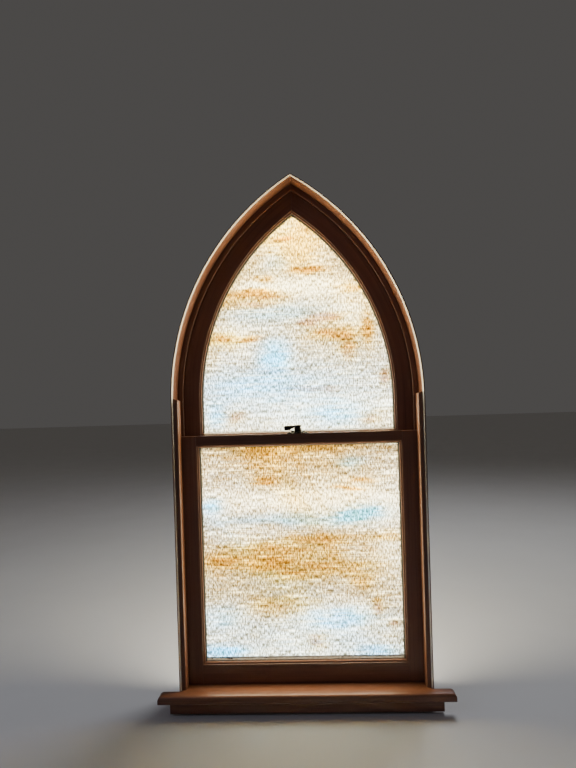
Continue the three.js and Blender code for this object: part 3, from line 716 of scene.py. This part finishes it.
def build_lower_sash(sizes):
    outer_x, stile_back, _ = high("lower_stile_right")
    face_x = GLASS_X + sizes.sticking
    foot = low("lower_stile_right")[2]
    face_low = GLASS_LOW - sizes.sticking
    face_high = GLASS_HIGH + sizes.meeting_sticking
    outline, moulded = sash_outline(sizes, face_x - outer_x, sizes.sticking)
    depth = LOWER_FACE + outline[:, 1]
    fall = (stile_back - depth) * sill_slope()
    begin = np.where(moulded, face_low + slope(outline, 1, 1), foot + fall)
    end = np.where(moulded, face_high - slope(outline, sizes.sticking, sizes.meeting_sticking), RAIL_TOP)
    line = np.array([[face_x, LOWER_FACE], [face_x, LOWER_FACE + SASH_DEPTH]])
    line_foot = foot + (stile_back - line[:, 1]) * sill_slope()
    for name, side in SIDES:
        rows = upright(np.column_stack([side * (face_x - outline[:, 0]), depth]), begin, end)
        ends = line * (side, 1)
        shoulders = {
            0: np.column_stack([ends, line_foot]),
            -1: np.column_stack([ends, np.full(2, RAIL_TOP)]),
        }
        wooden(f"lower_stile_{name}", sash_member(rows, moulded, shoulders), "lower_sash")

    outer = foot - face_low
    bottom, flags = sash_outline(sizes, outer, sizes.sticking)
    depth = LOWER_FACE + bottom[:, 1]
    lift = (high("lower_bottom_rail")[1] - depth) * sill_slope()
    height = face_low + bottom[:, 0] + np.where(bottom[:, 0] < outer + 2 * MM, lift, 0)
    rows = across(np.column_stack([depth, height]), face_x - GAP - np.maximum(bottom[:, 0], 0))
    wooden("lower_bottom_rail", sash_member(rows, flags, {}), "lower_sash", "x")

    outer = face_high - RAIL_TOP
    top, flags = sash_outline(sizes, outer, sizes.meeting_sticking)
    lip_out = high("lower_meeting_rail")[1] - LOWER_FACE
    lip_fall, lip_height, lip_foot = 2 * MM, 22 * MM, 26 * MM
    lip = [(outer + lip_foot, SASH_DEPTH), (outer + lip_height, lip_out - lip_fall), (outer, lip_out)]
    top, flags = np.concatenate([top[:-2], lip]), np.r_[flags[:-2], False, False, False]
    reach = face_x - GAP - slope(top, sizes.meeting_sticking, sizes.sticking)
    rows = across(np.column_stack([LOWER_FACE + top[:, 1], face_high - top[:, 0]]), reach)
    wooden("lower_meeting_rail", sash_member(rows, flags, {}), "lower_sash", "x", "rail_wood")


def build_upper_sash(sizes):
    outer, _, _ = high("upper_stile_right") + (CENTRE, 0, 0)
    face_radius = UPPER_FACE_X + CENTRE
    foot = low("upper_stile_right")[2]
    outline, moulded = sash_outline(sizes, face_radius - outer, sizes.sticking)
    section = np.column_stack([face_radius - outline[:, 0], UPPER_FACE + outline[:, 1]])
    begin = np.where(moulded, RAIL_TOP + slope(outline, sizes.sticking, UPPER_RIM - RAIL_TOP), foot)
    for name, side in SIDES:
        rows = round_arch(section, side, begin)
        x = side * UPPER_FACE_X
        ends = np.array([[x, UPPER_FACE, foot], [x, UPPER_FACE + SASH_DEPTH, foot]])
        wooden(f"upper_stile_{name}", sash_member(rows, moulded, {0: ends}), along="arch")
    tidy_copy("upper_meeting_rail", "wood", 0.8 * MM, "rail_wood", along="x")


def build_glazing_beads(sizes):
    """The outside beads: three-sided fillets behind the panes."""
    ease = 0.5 * MM
    for place, along in (("left", "z"), ("right", "z"), ("top", "x"), ("bottom", "x")):
        tidy_copy(f"lower_bead_{place}", "wood", ease, "weathered_wood", "lower_sash", along)
    tidy_copy("upper_bead_bottom", "wood", ease, "weathered_wood", along="x")
    face = UPPER_FACE_X + CENTRE
    start, end = UPPER_FACE + sizes.glass_depth + 4.3 * MM, UPPER_FACE + SASH_DEPTH - 0.5 * MM
    corners = [
        (face - sizes.sticking + 0.5 * MM, start),
        (face - sizes.rebate - GAP, start),
        (face - sizes.rebate - GAP, end),
        (face - sizes.rebate - 2 * MM, end),
    ]
    outline = eased(corners, ease)
    for name, side in SIDES:
        rows = round_arch(outline, side, low("upper_bead_right")[2])
        wooden(f"upper_bead_{name}", carried(rows), along="arch", finish="weathered_wood")


def build_putty(sizes):
    """Old putty in front of the panes: thin and near-black along the stiles, the arch and under the meeting
    rail, where it laps the last slope of the moulding, its near-black a painted shade by the glass, and
    broad and pale along the bottoms of the panes, over a dark foot that is painted shade. It dips a little
    into what it lies on, and stops short of what it meets."""
    dip, short = 0.05 * MM, 0.1 * MM
    seat = sizes.glass_depth - dip
    crest = np.array([(0.3, 8.3), (-2.75, 4.75)]) * MM
    under = [(-2.9 * MM, 4.9 * MM), (dip, 8.57 * MM), (dip, seat), (sizes.putty, seat)]
    lap = np.concatenate([under, crest])
    way, depth = lap.T
    face = UPPER_FACE_X + CENTRE - sizes.sticking
    section = np.column_stack([face - way, UPPER_FACE + depth])
    begin = GLASS_LOW + short + np.minimum(way, 0)
    end = GLASS_HIGH - short - np.where(way < 0, way * sizes.meeting_sticking / sizes.sticking, way)
    for name, side in SIDES:
        # painted shade: near-black putty along the stiles, the arch and under the meeting rail
        rows = round_arch(section, side, UPPER_RIM + 2 * short)
        make_piece(f"upper_putty_{name}", carried(rows), "stained_putty")
        rows = upright(np.column_stack([side * (GLASS_X - way), LOWER_FACE + depth]), begin, end)
        make_piece(f"lower_putty_{name}", carried(rows), "stained_putty", "lower_sash")
    rows = across(np.column_stack([LOWER_FACE + depth, end]), GLASS_X - way - short)
    make_piece("lower_putty_top", carried(rows), "stained_putty", "lower_sash")

    y, z = UPPER_FACE + sizes.glass_depth - GAP - 2 * MM, UPPER_RIM - 5 * MM
    seated = [(UPPER_FACE + seat, UPPER_RIM + dip), (UPPER_FACE + seat, UPPER_RIM + 1.2 * MM)]
    fillet = np.concatenate([seated, arc(y, z, 5.3 * MM, 90, 165, 8), arc(y, z, 4.7 * MM, 165, 90, 8)])
    rows = across(fillet, face - CENTRE - 2 * short)
    make_piece("upper_putty_bottom", carried(rows), "pale_putty")

    # painted shade: a near-black foot under the pale putty, for the shade where putty meets wood
    rise, depth = (np.array([(-1.2, 7.02), (0.05, 8.57), (0.3, 8.3), (-1.1, 6.85)]) * MM).T
    rows = across(np.column_stack([LOWER_FACE + depth, GLASS_LOW + rise]), GLASS_X - rise)
    make_piece("lower_putty_foot", carried(rows), "stained_putty", "lower_sash")

    foot = GLASS_LOW + short
    back, front = LOWER_FACE + seat, LOWER_FACE + seat - PUTTY_REACH
    corners = [(back, foot), (back, foot + sizes.bottom_putty), (front, foot + 0.8 * MM), (front, foot)]
    outline = eased(corners, [0, 0.6 * MM, 0.6 * MM, 0])
    stations = np.linspace(-1, 1, 90) * (GLASS_X - sizes.putty)
    rows = np.stack([np.column_stack([np.full(len(outline), x), outline]) for x in stations])
    sag = 0.7 * MM * (smooth_noise(rows[..., 0], rows[..., 2], 14 * MM, 30 * MM, 21) - 0.5)
    rows[..., 1] -= np.where((rows[..., 2] > foot) & (rows[..., 1] < back), sag, 0)
    make_piece("lower_putty_bottom", carried(rows), "pale_putty", "lower_sash")


# ---- Art glass -----------------------------------------------------------------------------------------

# Broad areas of the two sheets, each (x, height, half length, half height, strength), in centimetres
UPPER_STREAKS = {
    "clear": [
        (0, 130, 20, 2, 0.9), (0, 147, 11, 9, 0.5), (18, 123, 9, 5, 0.4), (-7, 124.5, 9, 1.2, 0.4),
        (5, 91, 27, 6, 0.4), (-22, 115, 9, 3, 0.45),
    ],
    "straw": [
        (0, 146, 14, 9, 0.6), (1.5, 141.5, 5, 3, 0.4), (18, 128, 7, 6, 0.4), (-16, 126, 12, 3, 0.5),
        (-24, 114, 9, 3, 0.5), (12, 114, 15, 6, 0.3), (-28, 105, 4, 6, 0.3), (24, 89, 6, 3, 0.3),
    ],
    "amber": [
        (-3, 145, 4, 1, 0.75), (4.8, 148.4, 2.5, 2, 0.35), (4.8, 135.5, 6, 1.2, 0.75),
        (-10, 132.7, 4, 1, 0.6), (-12, 127.8, 10, 1.3, 0.75), (-12, 124.7, 9, 1, 0.45),
        (19.5, 129.5, 4, 1, 0.5), (3, 118.8, 3.2, 1.1, 1), (9.2, 121, 5, 1.1, 1),
        (10.8, 115.5, 7, 2.3, 0.6), (16.5, 110.5, 3, 4, 0.6), (23, 116, 2.2, 5.6, 0.65),
        (-23, 115, 4, 1, 0.75), (-14, 114, 5, 1.1, 0.75), (-9, 103.7, 9, 0.8, 0.75),
        (27.7, 100.5, 1.8, 2.4, 0.9), (4, 97.3, 10, 0.9, 0.9), (23, 87.5, 3, 1, 0.6),
        (-20, 89, 5, 1.2, 0.6),
    ],
    "blue": [
        (-7, 108, 4.5, 3.8, 0.9), (-15, 99.5, 15, 4, 0.4), (-26, 90, 3, 3.5, 0.5),
        (12, 89.5, 9, 3, 0.5), (-5, 138, 3.5, 2.2, 0.2), (-6, 121.5, 16, 3, 0.3), (0, 96, 28, 8, 0.25),
    ],
    "smoke": [(-5, 122, 14, 4, 0.35), (12, 107, 14, 4, 0.3), (-12, 136, 8, 3, 0.3)],
}
LOWER_STREAKS = {
    "clear": [
        (4, 63, 32, 3, 0.9), (20, 59, 12, 3, 0.9), (10, 25.5, 13, 3.4, 0.9), (16, 68, 10, 3, 0.3),
        (-25, 27, 7, 3, 0.4), (27, 46, 5, 6, 0.35), (0, 17, 34, 4, 0.3),
    ],
    "straw": [
        (0, 75, 34, 5, 0.3), (0, 50, 32, 3, 0.3), (-2, 43, 28, 4.5, 0.5), (-5, 31, 16, 5, 0.45),
        (24, 32, 6, 8, 0.25), (-10, 79, 16, 3, 0.3), (6, 20, 5, 3, 0.3),
    ],
    "amber": [
        (0, 79, 30, 1.3, 0.35), (-13, 72, 5, 4.5, 0.15), (20, 69, 4.6, 1.2, 0.5),
        (15, 66.2, 6, 0.8, 0.5), (-11, 69, 4, 1.2, 0.45), (5, 51, 9, 1.3, 0.5), (25, 51, 8, 1.4, 0.4),
        (-8.5, 47.7, 15, 1.6, 0.5), (-24.5, 44.5, 6, 2.2, 0.55), (-11, 44, 6.5, 1.7, 1),
        (2, 41.8, 18, 2.8, 0.5), (18, 36.6, 4, 2, 0.4), (-8.5, 29.5, 8.5, 2.6, 0.4),
        (23, 29, 1.8, 2.4, 0.6), (3.5, 19, 2.6, 1.8, 0.7), (28, 24.5, 2, 1.2, 0.6),
    ],
    "blue": [
        (-27.5, 61.5, 3, 1.8, 0.85), (18, 58.6, 8, 2.2, 1.1), (-6, 57, 20, 1.6, 0.4),
        (11, 26, 11.5, 2.6, 0.65), (-24.8, 16, 7, 1.6, 0.95), (22, 15.6, 8, 1.8, 0.5),
        (-25, 27, 6, 3.2, 0.4), (16, 74.5, 4.5, 1.6, 0.4), (0, 20, 30, 6, 0.2),
    ],
    "smoke": [(-9.5, 36.3, 20, 3, 0.55), (10, 73.5, 14, 2.5, 0.25), (0, 57, 30, 1.3, 0.25)],
}


def smooth_noise(x, z, cell_x, cell_z, seed):
    """Noise from 0 to 1: random values on a lattice of cells, blended with the weight 3 t^2 - 2 t^3."""
    side = 256
    table = np.random.default_rng(seed).random((side, side))
    u, w = x / cell_x, z / cell_z
    i, j = np.floor(u).astype(int), np.floor(w).astype(int)
    s, t = u - i, w - j
    s, t = s * s * (3 - 2 * s), t * t * (3 - 2 * t)
    i, j, right, up = i % side, j % side, (i + 1) % side, (j + 1) % side
    near = table[i, j] * (1 - s) + table[right, j] * s
    far = table[i, up] * (1 - s) + table[right, up] * s
    return near * (1 - t) + far * t


def streak_field(x, z, areas, seed):
    """Strength of one colour: the sum of s exp(-(dx / a)^2 - (dz / b)^2) over its areas, with the height
    pushed about by broad noise, then torn along its length into threads a few millimetres high."""
    drift = 16 * MM * (smooth_noise(x, z, 0.11, 0.05, seed) - 0.5)
    drift += 8 * MM * (smooth_noise(x, z, 0.035, 0.02, seed + 1) - 0.5)
    ax, az, half, tall, strength = (np.array(areas) * (CM, CM, CM, CM, 1)).T[:, :, None, None]
    field = strength * np.exp(-(((x - ax) / half) ** 2) - ((z + drift - az) / (1.15 * tall)) ** 2)
    threads = smooth_noise(x, z, 60 * MM, 4 * MM, seed + 2) * 0.6
    threads += smooth_noise(x, z, 25 * MM, 9 * MM, seed + 3) * 0.4
    return np.clip(1.25 * field.sum(axis=0) * (0.45 + 1.1 * threads), 0, 1)


def hammered(x, z, glass, seed):
    """Height of the rolled ripple, 0 to 1: upright cells in two sizes, pushed sideways row by row."""
    width, height = glass.ripple_width, glass.ripple_height
    shift = 3 * MM * smooth_noise(x, z, 0.02, 0.012, seed)
    fine = smooth_noise(x + shift, z, width, height, seed + 1)
    small = smooth_noise(x - shift, z + shift, 0.6 * width, 0.5 * height, seed + 2)
    return 0.62 * fine + 0.38 * small


def build_pane(node, body, half_at, columns, streaks, glass, seed):
    """A pane: a grid over the front whose rows reach from edge to edge, x = t half(z), set back from the
    front plane by the ripple, a flat back, and sides between their borders."""
    (_, front, foot), (_, back, top) = low(node), high(node)
    z = np.linspace(foot, top, int((top - foot) / (2.4 * MM)))[:, None]
    x = half_at(z) * np.linspace(-1, 1, columns)[None, :]
    z = np.broadcast_to(z, x.shape)
    y = front + glass.relief * (1 - hammered(x, z, glass, seed))
    face = np.stack([x, y, z], axis=-1).reshape(-1, 3)
    index = np.arange(x.size).reshape(x.shape)
    quads = np.stack([index[:-1, :-1], index[:-1, 1:], index[1:, 1:], index[1:, :-1]], axis=-1)
    border = np.concatenate([index[0], index[1:, -1], index[-1, -2::-1], index[-2:0:-1, 0]])
    rear = face[border] * (1, 0, 1) + (0, back, 0)
    rear_index = len(face) + np.arange(len(border))
    sides = np.stack([border, rear_index, np.roll(rear_index, -1), np.roll(border, -1)], axis=-1)
    faces = quads.reshape(-1, 4).tolist() + sides.tolist() + [rear_index.tolist()]
    piece = make_piece(f"{node}_pane", (np.concatenate([face, rear]), faces), "art_glass", body, [node])
    for k, (name, areas) in enumerate(streaks.items()):
        field = streak_field(x, z, areas, seed + 10 * (k + 1)).ravel()
        values = np.concatenate([field, field[border]]).astype(np.float32)
        piece.data.attributes.new(name, "FLOAT", "POINT").data.foreach_set("value", values)


def build_glass(glass):
    """Both panes. The upper one's half(z) is w to the springing line and sqrt(R^2 - h^2) - c above it."""
    radius = high("upper_glass")[0] + CENTRE
    half, tip = high("lower_glass")[0], 0.5 * MM

    def arched(z):
        return np.maximum(np.sqrt(radius**2 - np.maximum(z - SPRING, 0) ** 2) - CENTRE, tip)

    def straight(z):
        return np.full(z.shape, half)

    build_pane("upper_glass", "root", arched, 240, UPPER_STREAKS, glass, 11)
    build_pane("lower_glass", "lower_sash", straight, 256, LOWER_STREAKS, glass, 71)


def thread(path, width, height):
    """A hairline ridge along a path of (x, y, z) points: three-sided, tapering to both ends."""
    t = np.linspace(0, 1, len(path))
    taper = np.sqrt(np.clip(4 * t * (1 - t), 0.02, 1))[:, None]
    side = np.cross(np.gradient(path, axis=0), (0, 1, 0))
    side /= np.linalg.norm(side, axis=1)[:, None]
    edge = side * width / 2 * taper
    crest = np.array([0, -height, 0]) * taper
    return np.stack([path + edge, path + crest, path - edge], axis=1)


def build_crack():
    """The hairline crack in the lower pane: a bent line from the left part down to the bottom edge, as
    (1 - t)^2 start + 2 t (1 - t) bend + t^2 end, with a small wobble."""
    t = np.linspace(0, 1, 60)[:, None]
    end = np.array((-0.163, GLASS_LOW + 9 * MM))
    start = np.array((-0.228, end[1] + 0.088))
    bend = np.array((-0.204, end[1] + 0.026))
    xz = (1 - t) ** 2 * start + 2 * t * (1 - t) * bend + t**2 * end
    wobble = 1.2 * MM * (smooth_noise(xz[:, 0], xz[:, 1], 9 * MM, 9 * MM, 5) - 0.5)
    front = low("lower_glass")[1] + 0.3 * MM
    path = np.column_stack([xz[:, 0] + wobble, np.full(len(xz), front), xz[:, 1]])
    make_piece("lower_pane_crack", carried(thread(path, 1.3 * MM, 0.35 * MM)), "crack", "lower_sash")


def crumb(centre, size, rng):
    """A rough crumb: a ball of 7 by 10 points with its radius varied by 40%."""
    v, u = np.meshgrid(np.linspace(0, pi, 7), np.linspace(0, 2 * pi, 10, endpoint=False), indexing="ij")
    ball = np.stack([np.sin(v) * np.cos(u), np.sin(v) * np.sin(u), np.cos(v)], axis=-1)
    rough = ball * (0.6 + 0.4 * rng.random(ball.shape[:2]))[..., None] * size
    rough[0], rough[-1] = rough[0].mean(axis=0), rough[-1].mean(axis=0)
    index = np.arange(v.size).reshape(v.shape)
    return (rough + centre).reshape(-1, 3), between(index[:-1], index[1:])


def build_crumbs(name, body, spots, sizes, seed):
    rng = np.random.default_rng(seed)
    crumbs = [crumb(spot, size * MM, rng) for spot, size in zip(spots, sizes)]
    make_piece(name, joined(*crumbs), "dirt", body)


def build_dirt(sizes):
    """What has gathered by the glass: crumbs on the lower putty, with a heap to the left, and crumbs along
    the upper rail, most of them in its left half."""
    rng = np.random.default_rng(3)
    heap, strewn = 14, 8
    reach, bury = 0.29, 0.5 * MM
    x = np.concatenate([-0.233 + 0.012 * rng.standard_normal(heap), rng.uniform(-reach, reach, strewn)])
    out = rng.uniform(0.6, 3.6, x.size) * MM
    lift = sizes.bottom_putty * (1 - out / PUTTY_REACH) + bury
    spots = np.column_stack([x, low("lower_glass")[1] - out, GLASS_LOW + lift])
    size = rng.uniform(0.7, 2.4, (x.size, 1)) * (1.4, 0.8, 0.8)
    build_crumbs("lower_ledge_dirt", "lower_sash", spots, size, 4)
    x = np.concatenate([rng.uniform(-reach, 0.02, 30), rng.uniform(0.02, reach, 16)])
    out = rng.uniform(0.8, 2, x.size) * MM
    spots = np.column_stack([x, low("upper_glass")[1] - out, np.full(x.size, UPPER_RIM + bury)])
    size = rng.uniform(0.6, 1.5, (x.size, 1)) * (2.6, 0.7, 0.8)
    build_crumbs("upper_rail_dirt", "root", spots, size, 9)


# ---- Lock ----------------------------------------------------------------------------------------------


def stacked(outline, levels, centre):
    """Rows of a flat outline at each (height, inset), the inset measured inwards along its normals."""
    way = np.roll(outline, -1, axis=0) - np.roll(outline, 1, axis=0)
    normal = np.column_stack([way[:, 1], -way[:, 0]]) / np.hypot(*way.T)[:, None]
    rows = [np.column_stack([outline - inset * normal, np.full(len(outline), h)]) for h, inset in levels]
    return np.stack(rows) + centre


def lathed(profile, centre, steps=48):
    """Rows of a profile of (radius, height) turned about the upright axis: x = r cos t, y = r sin t."""
    t = np.linspace(0, 2 * pi, steps, endpoint=False)
    radius, height = np.array(profile, float).T
    rows = np.stack([np.outer(radius, np.cos(t)), np.outer(radius, np.sin(t))], axis=-1)
    return np.concatenate([rows, np.broadcast_to(height[:, None, None], (*rows.shape[:2], 1))], -1) + centre


def lever_rows(centre, reach):
    """The thumb piece as round-cornered sections along x: half width and the top and bottom lines are
    curves of the way s from the hub, 0 to 1, and each section is a superellipse of power 2.8."""
    s = np.sin(np.linspace(0, pi / 2, 22))
    root = 4 * MM
    nose = np.sqrt(np.clip(1 - np.clip((s - 0.9) / 0.1, 0, 1) ** 2, 0.004, 1))
    top = np.interp(s, [0, 1], [25, 24.6]) * MM
    bottom = np.interp(s, [0, 0.25, 0.38, 0.52, 0.66, 1], [18.5, 17, 14, 11, 10.2, 10.2]) * MM
    width = np.interp(s, [0, 0.4, 0.7, 1], [6.6, 5.2, 6, 6.8]) * MM
    t = np.linspace(0, 2 * pi, 28, endpoint=False)
    out, up = (np.sign(v) * np.abs(v) ** (2 / 2.8) for v in (np.cos(t), np.sin(t)))
    x = np.broadcast_to(-(root + (reach - root) * s)[:, None], (len(s), len(t)))
    middle = (top + bottom) / 2 + (1 - nose) * 1 * MM
    z = middle[:, None] + np.outer((top - bottom) / 2 * nose, up)
    return np.stack([x, np.outer(width * nose, out), z], axis=-1) + centre


def build_lock():
    (x0, y0, _), (x1, y1, top) = low("lock_base"), high("lock_base")
    centre = np.array([(x0 + x1) / 2, (y0 + y1) / 2, RAIL_TOP])
    half, hub, top = x1 - centre[0], y1 - centre[1], top - RAIL_TOP
    ear = 7.5 * MM
    plate_top = top - 0.6 * MM
    outline = np.concatenate([
        arc(-half + ear, 0, ear, 90, 270, 16),
        arc(0, 0, hub, 230, 310, 8),
        arc(half - ear, 0, ear, -90, 90, 16),
        arc(0, 0, hub, 50, 130, 8),
    ])
    edge = [(GAP, 0), (plate_top - 0.8 * MM, 0), (plate_top - 0.2 * MM, 0.25 * MM), (plate_top, 0.9 * MM)]
    boss_radius = hub - 1 * MM
    boss = [(boss_radius, GAP), (boss_radius, top - 0.2 * MM), (boss_radius - 0.3 * MM, top)]
    base = joined(carried(stacked(outline, edge, centre)), carried(lathed(boss, centre)))
    make_piece("lock_base_cast", base, "dark_bronze", "lower_sash", ["lock_base"])

    start, peak = low("lock_lever")[2] - RAIL_TOP, high("lock_lever")[2] - RAIL_TOP
    r, waist = hub - 0.5 * MM, 19 * MM
    neck = [(0, -3), (0.6, -2), (1.6, -1.2), (1.6, 0), (0.5, 1.2)]
    knob = [(0.4, -1.8), (0.9, -0.7), (2, -0.15), (4, 0)]
    profile = [(r, start)] + [(r - inset * MM, waist + rise * MM) for inset, rise in neck]
    profile += [(r - inset * MM, peak + rise * MM) for inset, rise in knob]
    outline = np.concatenate([arc(0, 0, 23 * MM, -95, -25, 16), arc(0, 0, 6 * MM, 20, -140, 10)])
    chamfer, end = 0.2 * MM, start + 2 * MM
    edge = [(start, chamfer), (start + 0.3 * MM, 0), (end - 0.3 * MM, 0), (end, chamfer)]
    thumb = lever_rows(centre, centre[0] - low("lock_lever")[0])
    cam = stacked(outline, edge, centre)
    lever = joined(carried(lathed(profile, centre)), carried(thumb), carried(cam))
    make_piece("lock_lever_cast", lever, "dark_bronze", "lock_lever", ["lock_lever"])
    tidy_copy("lock_keeper", "cast", 0.4 * MM, "dark_bronze")
    build_screws(centre, half - ear, plate_top)


def build_screws(centre, spread, seat):
    """Round-head screws with one slot, two in the lock's base: a dome of radius r and height h, with a
    shallow groove across it."""
    r, h = 3.4 * MM, 2.2 * MM
    half_slot, slot_depth, slot_floor = 0.5 * MM, 0.7 * MM, 1.2 * MM
    rise = np.linspace(0, 1, 8)
    profile = [(r, -0.1 * MM)] + [(r * np.sqrt(1 - 0.96 * s**2), 0.3 * MM + h * s) for s in rise]
    for name, side in SIDES:
        place = centre + (side * spread, 0, seat)
        rows = lathed(profile, place, 32)
        slot = (np.abs(rows[..., 1] - place[1]) < half_slot) & (rows[..., 2] > place[2] + slot_floor)
        rows[..., 2] -= np.where(slot, slot_depth, 0)
        make_piece(f"lock_screw_{name}", carried(rows), "dark_bronze", "lower_sash", sharp=30)


# ---- Studio --------------------------------------------------------------------------------------------


def soft_lamp(name, place, target, width, height, power, tint=(1, 1, 1)):
    data = bpy.data.lights.new(name, "AREA")
    data.shape = "RECTANGLE"
    data.size, data.size_y = width, height
    data.energy = power
    data.color = tint
    lamp = add_object(name, data)
    lamp.visible_camera = False
    turn = (Vector(target) - Vector(place)).to_track_quat("-Z", "Y")
    lamp.matrix_world = Matrix.Translation(place) @ turn.to_matrix().to_4x4()
    return lamp


def light_only(lamp, name, pieces):
    """Lets a lamp light the given pieces and nothing else."""
    collection = bpy.data.collections.new(name)
    for piece in pieces:
        collection.objects.link(piece)
    lamp.light_linking.receiver_collection = collection


def build_floor():
    reach, level = 30.0, -0.5 * MM
    corners = [(x * reach, y * reach, level) for x, y in ((-1, -1), (1, -1), (1, 1), (-1, 1))]
    mesh = bpy.data.meshes.new("floor")
    mesh.from_pydata(corners, [], [(0, 1, 2, 3)])
    mesh.materials.append(MATERIALS["paper"])
    floor = add_object("floor", mesh)


def light_scene(studio, pieces):
    """Even air, a soft lamp on each side of the wall, one behind the panes that lights them alone, and one
    in front of each pane for what it throws on the joinery, but for the pieces it would make too bright."""
    world = bpy.data.worlds.new("studio_air")
    world.use_nodes = True
    background = world.node_tree.nodes["Background"]
    background.inputs["Color"].default_value = (*rgb("fbf6f2"), 1)
    background.inputs["Strength"].default_value = studio.air
    bpy.context.scene.world = world

    middle = (0, 0, 0.8)
    soft_lamp("key", (-2.3, -2.0, 2.2), middle, 1.8, 1.8, studio.key, rgb("c6d0ff"))
    soft_lamp("outside_sky", (1.2, 1.9, 3.9), middle, 1.6, 1.6, studio.outside, rgb("eef4ff"))
    glow = soft_lamp("pane_glow", (0, 1.3, 0.85), middle, 1.3, 1.9, studio.glow)
    light_only(glow, "panes", [p for p in pieces if p.name.endswith("_pane")])
    joinery = [p for p in pieces if not p.name.endswith("_pane")]
    for node, shaded in (("upper_glass", "lower_meeting_rail"), ("lower_glass", "edge_strip")):
        (x0, front, foot), (x1, _, top) = low(node), high(node)
        place = Vector((0, front - 3 * MM, (foot + top) / 2))
        ahead = place - Vector((0, 1, 0))
        spill = soft_lamp(f"{node}_spill", place, ahead, x1 - x0, top - foot, studio.spill, rgb("ffecbe"))
        light_only(spill, f"beside_{node}", [p for p in joinery if not p.name.startswith(shaded)])


def place_camera():
    """A camera in the room, near the height of the meeting rails, turned a little to the left."""
    data = bpy.data.cameras.new("camera")
    data.sensor_width, data.lens, data.shift_y = 36, 27.046875, 0.0266927083
    data.clip_end = 100
    camera = add_object("camera", data)
    heading, tilt, roll = radians(2.22), radians(90 - 0.11), radians(-1.77)
    turn = Matrix.Rotation(heading, 4, "Z") @ Matrix.Rotation(tilt, 4, "X")
    place = Matrix.Translation((0.0404, -1.799, 0.931))
    camera.matrix_world = place @ turn @ Matrix.Rotation(roll, 4, "Z")
    bpy.context.scene.camera = camera


def build_studio(studio):
    pieces = [thing for thing in bpy.context.scene.objects if thing.type == "MESH"]
    build_floor()
    light_scene(studio, pieces)
    place_camera()


# ---- Operators and panel -------------------------------------------------------------------------------


class WINDOW_OT_finishes(bpy.types.Operator):
    """Mix the materials"""

    bl_idname = "window.finishes"
    bl_label = "Finishes"

    def execute(self, context):
        mix_materials(context.scene.window_finish, context.scene.window_glass)
        return {"FINISHED"}


class WINDOW_OT_frame(bpy.types.Operator):
    """Add the jambs, the arch, the parting beads and the painted edge bead"""

    bl_idname = "window.frame"
    bl_label = "Frame"

    def execute(self, context):
        build_frame(context.scene.window_joinery)
        return {"FINISHED"}


class WINDOW_OT_stops(bpy.types.Operator):
    """Add the stops in front of the lower sash"""

    bl_idname = "window.stops"
    bl_label = "Side stops"

    def execute(self, context):
        build_stops(context.scene.window_joinery)
        return {"FINISHED"}


class WINDOW_OT_sill(bpy.types.Operator):
    """Add the sill, the stool and the apron"""

    bl_idname = "window.sill"
    bl_label = "Sill, stool and apron"

    def execute(self, context):
        build_sill_and_stool()
        return {"FINISHED"}


class WINDOW_OT_sashes(bpy.types.Operator):
    """Add the stiles, rails, glazing beads and putty of both sashes"""

    bl_idname = "window.sashes"
    bl_label = "Sashes"

    def execute(self, context):
        sizes = context.scene.window_joinery
        build_upper_sash(sizes)
        build_lower_sash(sizes)
        build_glazing_beads(sizes)
        build_putty(sizes)
        return {"FINISHED"}


class WINDOW_OT_glass(bpy.types.Operator):
    """Add the two art glass panes, the crack and the dirt beside them"""

    bl_idname = "window.glass"
    bl_label = "Art glass"

    def execute(self, context):
        build_glass(context.scene.window_glass)
        build_crack()
        build_dirt(context.scene.window_joinery)
        return {"FINISHED"}


class WINDOW_OT_lock(bpy.types.Operator):
    """Add the sash lock with its keeper and screws"""

    bl_idname = "window.lock"
    bl_label = "Sash lock"

    def execute(self, context):
        build_lock()
        return {"FINISHED"}


class WINDOW_OT_studio(bpy.types.Operator):
    """Add the floor, the lamps and the camera"""

    bl_idname = "window.studio"
    bl_label = "Studio"

    def execute(self, context):
        build_studio(context.scene.window_studio)
        return {"FINISHED"}


OPERATORS = (
    WINDOW_OT_finishes,
    WINDOW_OT_frame,
    WINDOW_OT_stops,
    WINDOW_OT_sill,
    WINDOW_OT_sashes,
    WINDOW_OT_glass,
    WINDOW_OT_lock,
    WINDOW_OT_studio,
)


class WINDOW_PT_panel(bpy.types.Panel):
    """Lists the window's sizes, finishes and pieces"""

    bl_label = "Pointed Sash Window"
    bl_idname = "WINDOW_PT_panel"
    bl_space_type = "VIEW_3D"
    bl_region_type = "UI"
    bl_category = "Window"

    def draw(self, context):
        for attribute_name, group in GROUPS.items():
            box = self.layout.box()
            for field in group.__annotations__:
                box.prop(getattr(context.scene, attribute_name), field)
        for operator in OPERATORS:
            self.layout.operator(operator.bl_idname)


CLASSES = (*GROUPS.values(), *OPERATORS, WINDOW_PT_panel)


def register():
    for cls in CLASSES:
        bpy.utils.register_class(cls)
    for attribute_name, group in GROUPS.items():
        setattr(bpy.types.Scene, attribute_name, PointerProperty(type=group))


def unregister():
    for attribute_name in GROUPS:
        delattr(bpy.types.Scene, attribute_name)
    for cls in reversed(CLASSES):
        bpy.utils.unregister_class(cls)


def main():
    register()
    for operator in OPERATORS:
        group, name = operator.bl_idname.split(".")
        getattr(getattr(bpy.ops, group), name)()


if __name__ == "__main__":
    main()
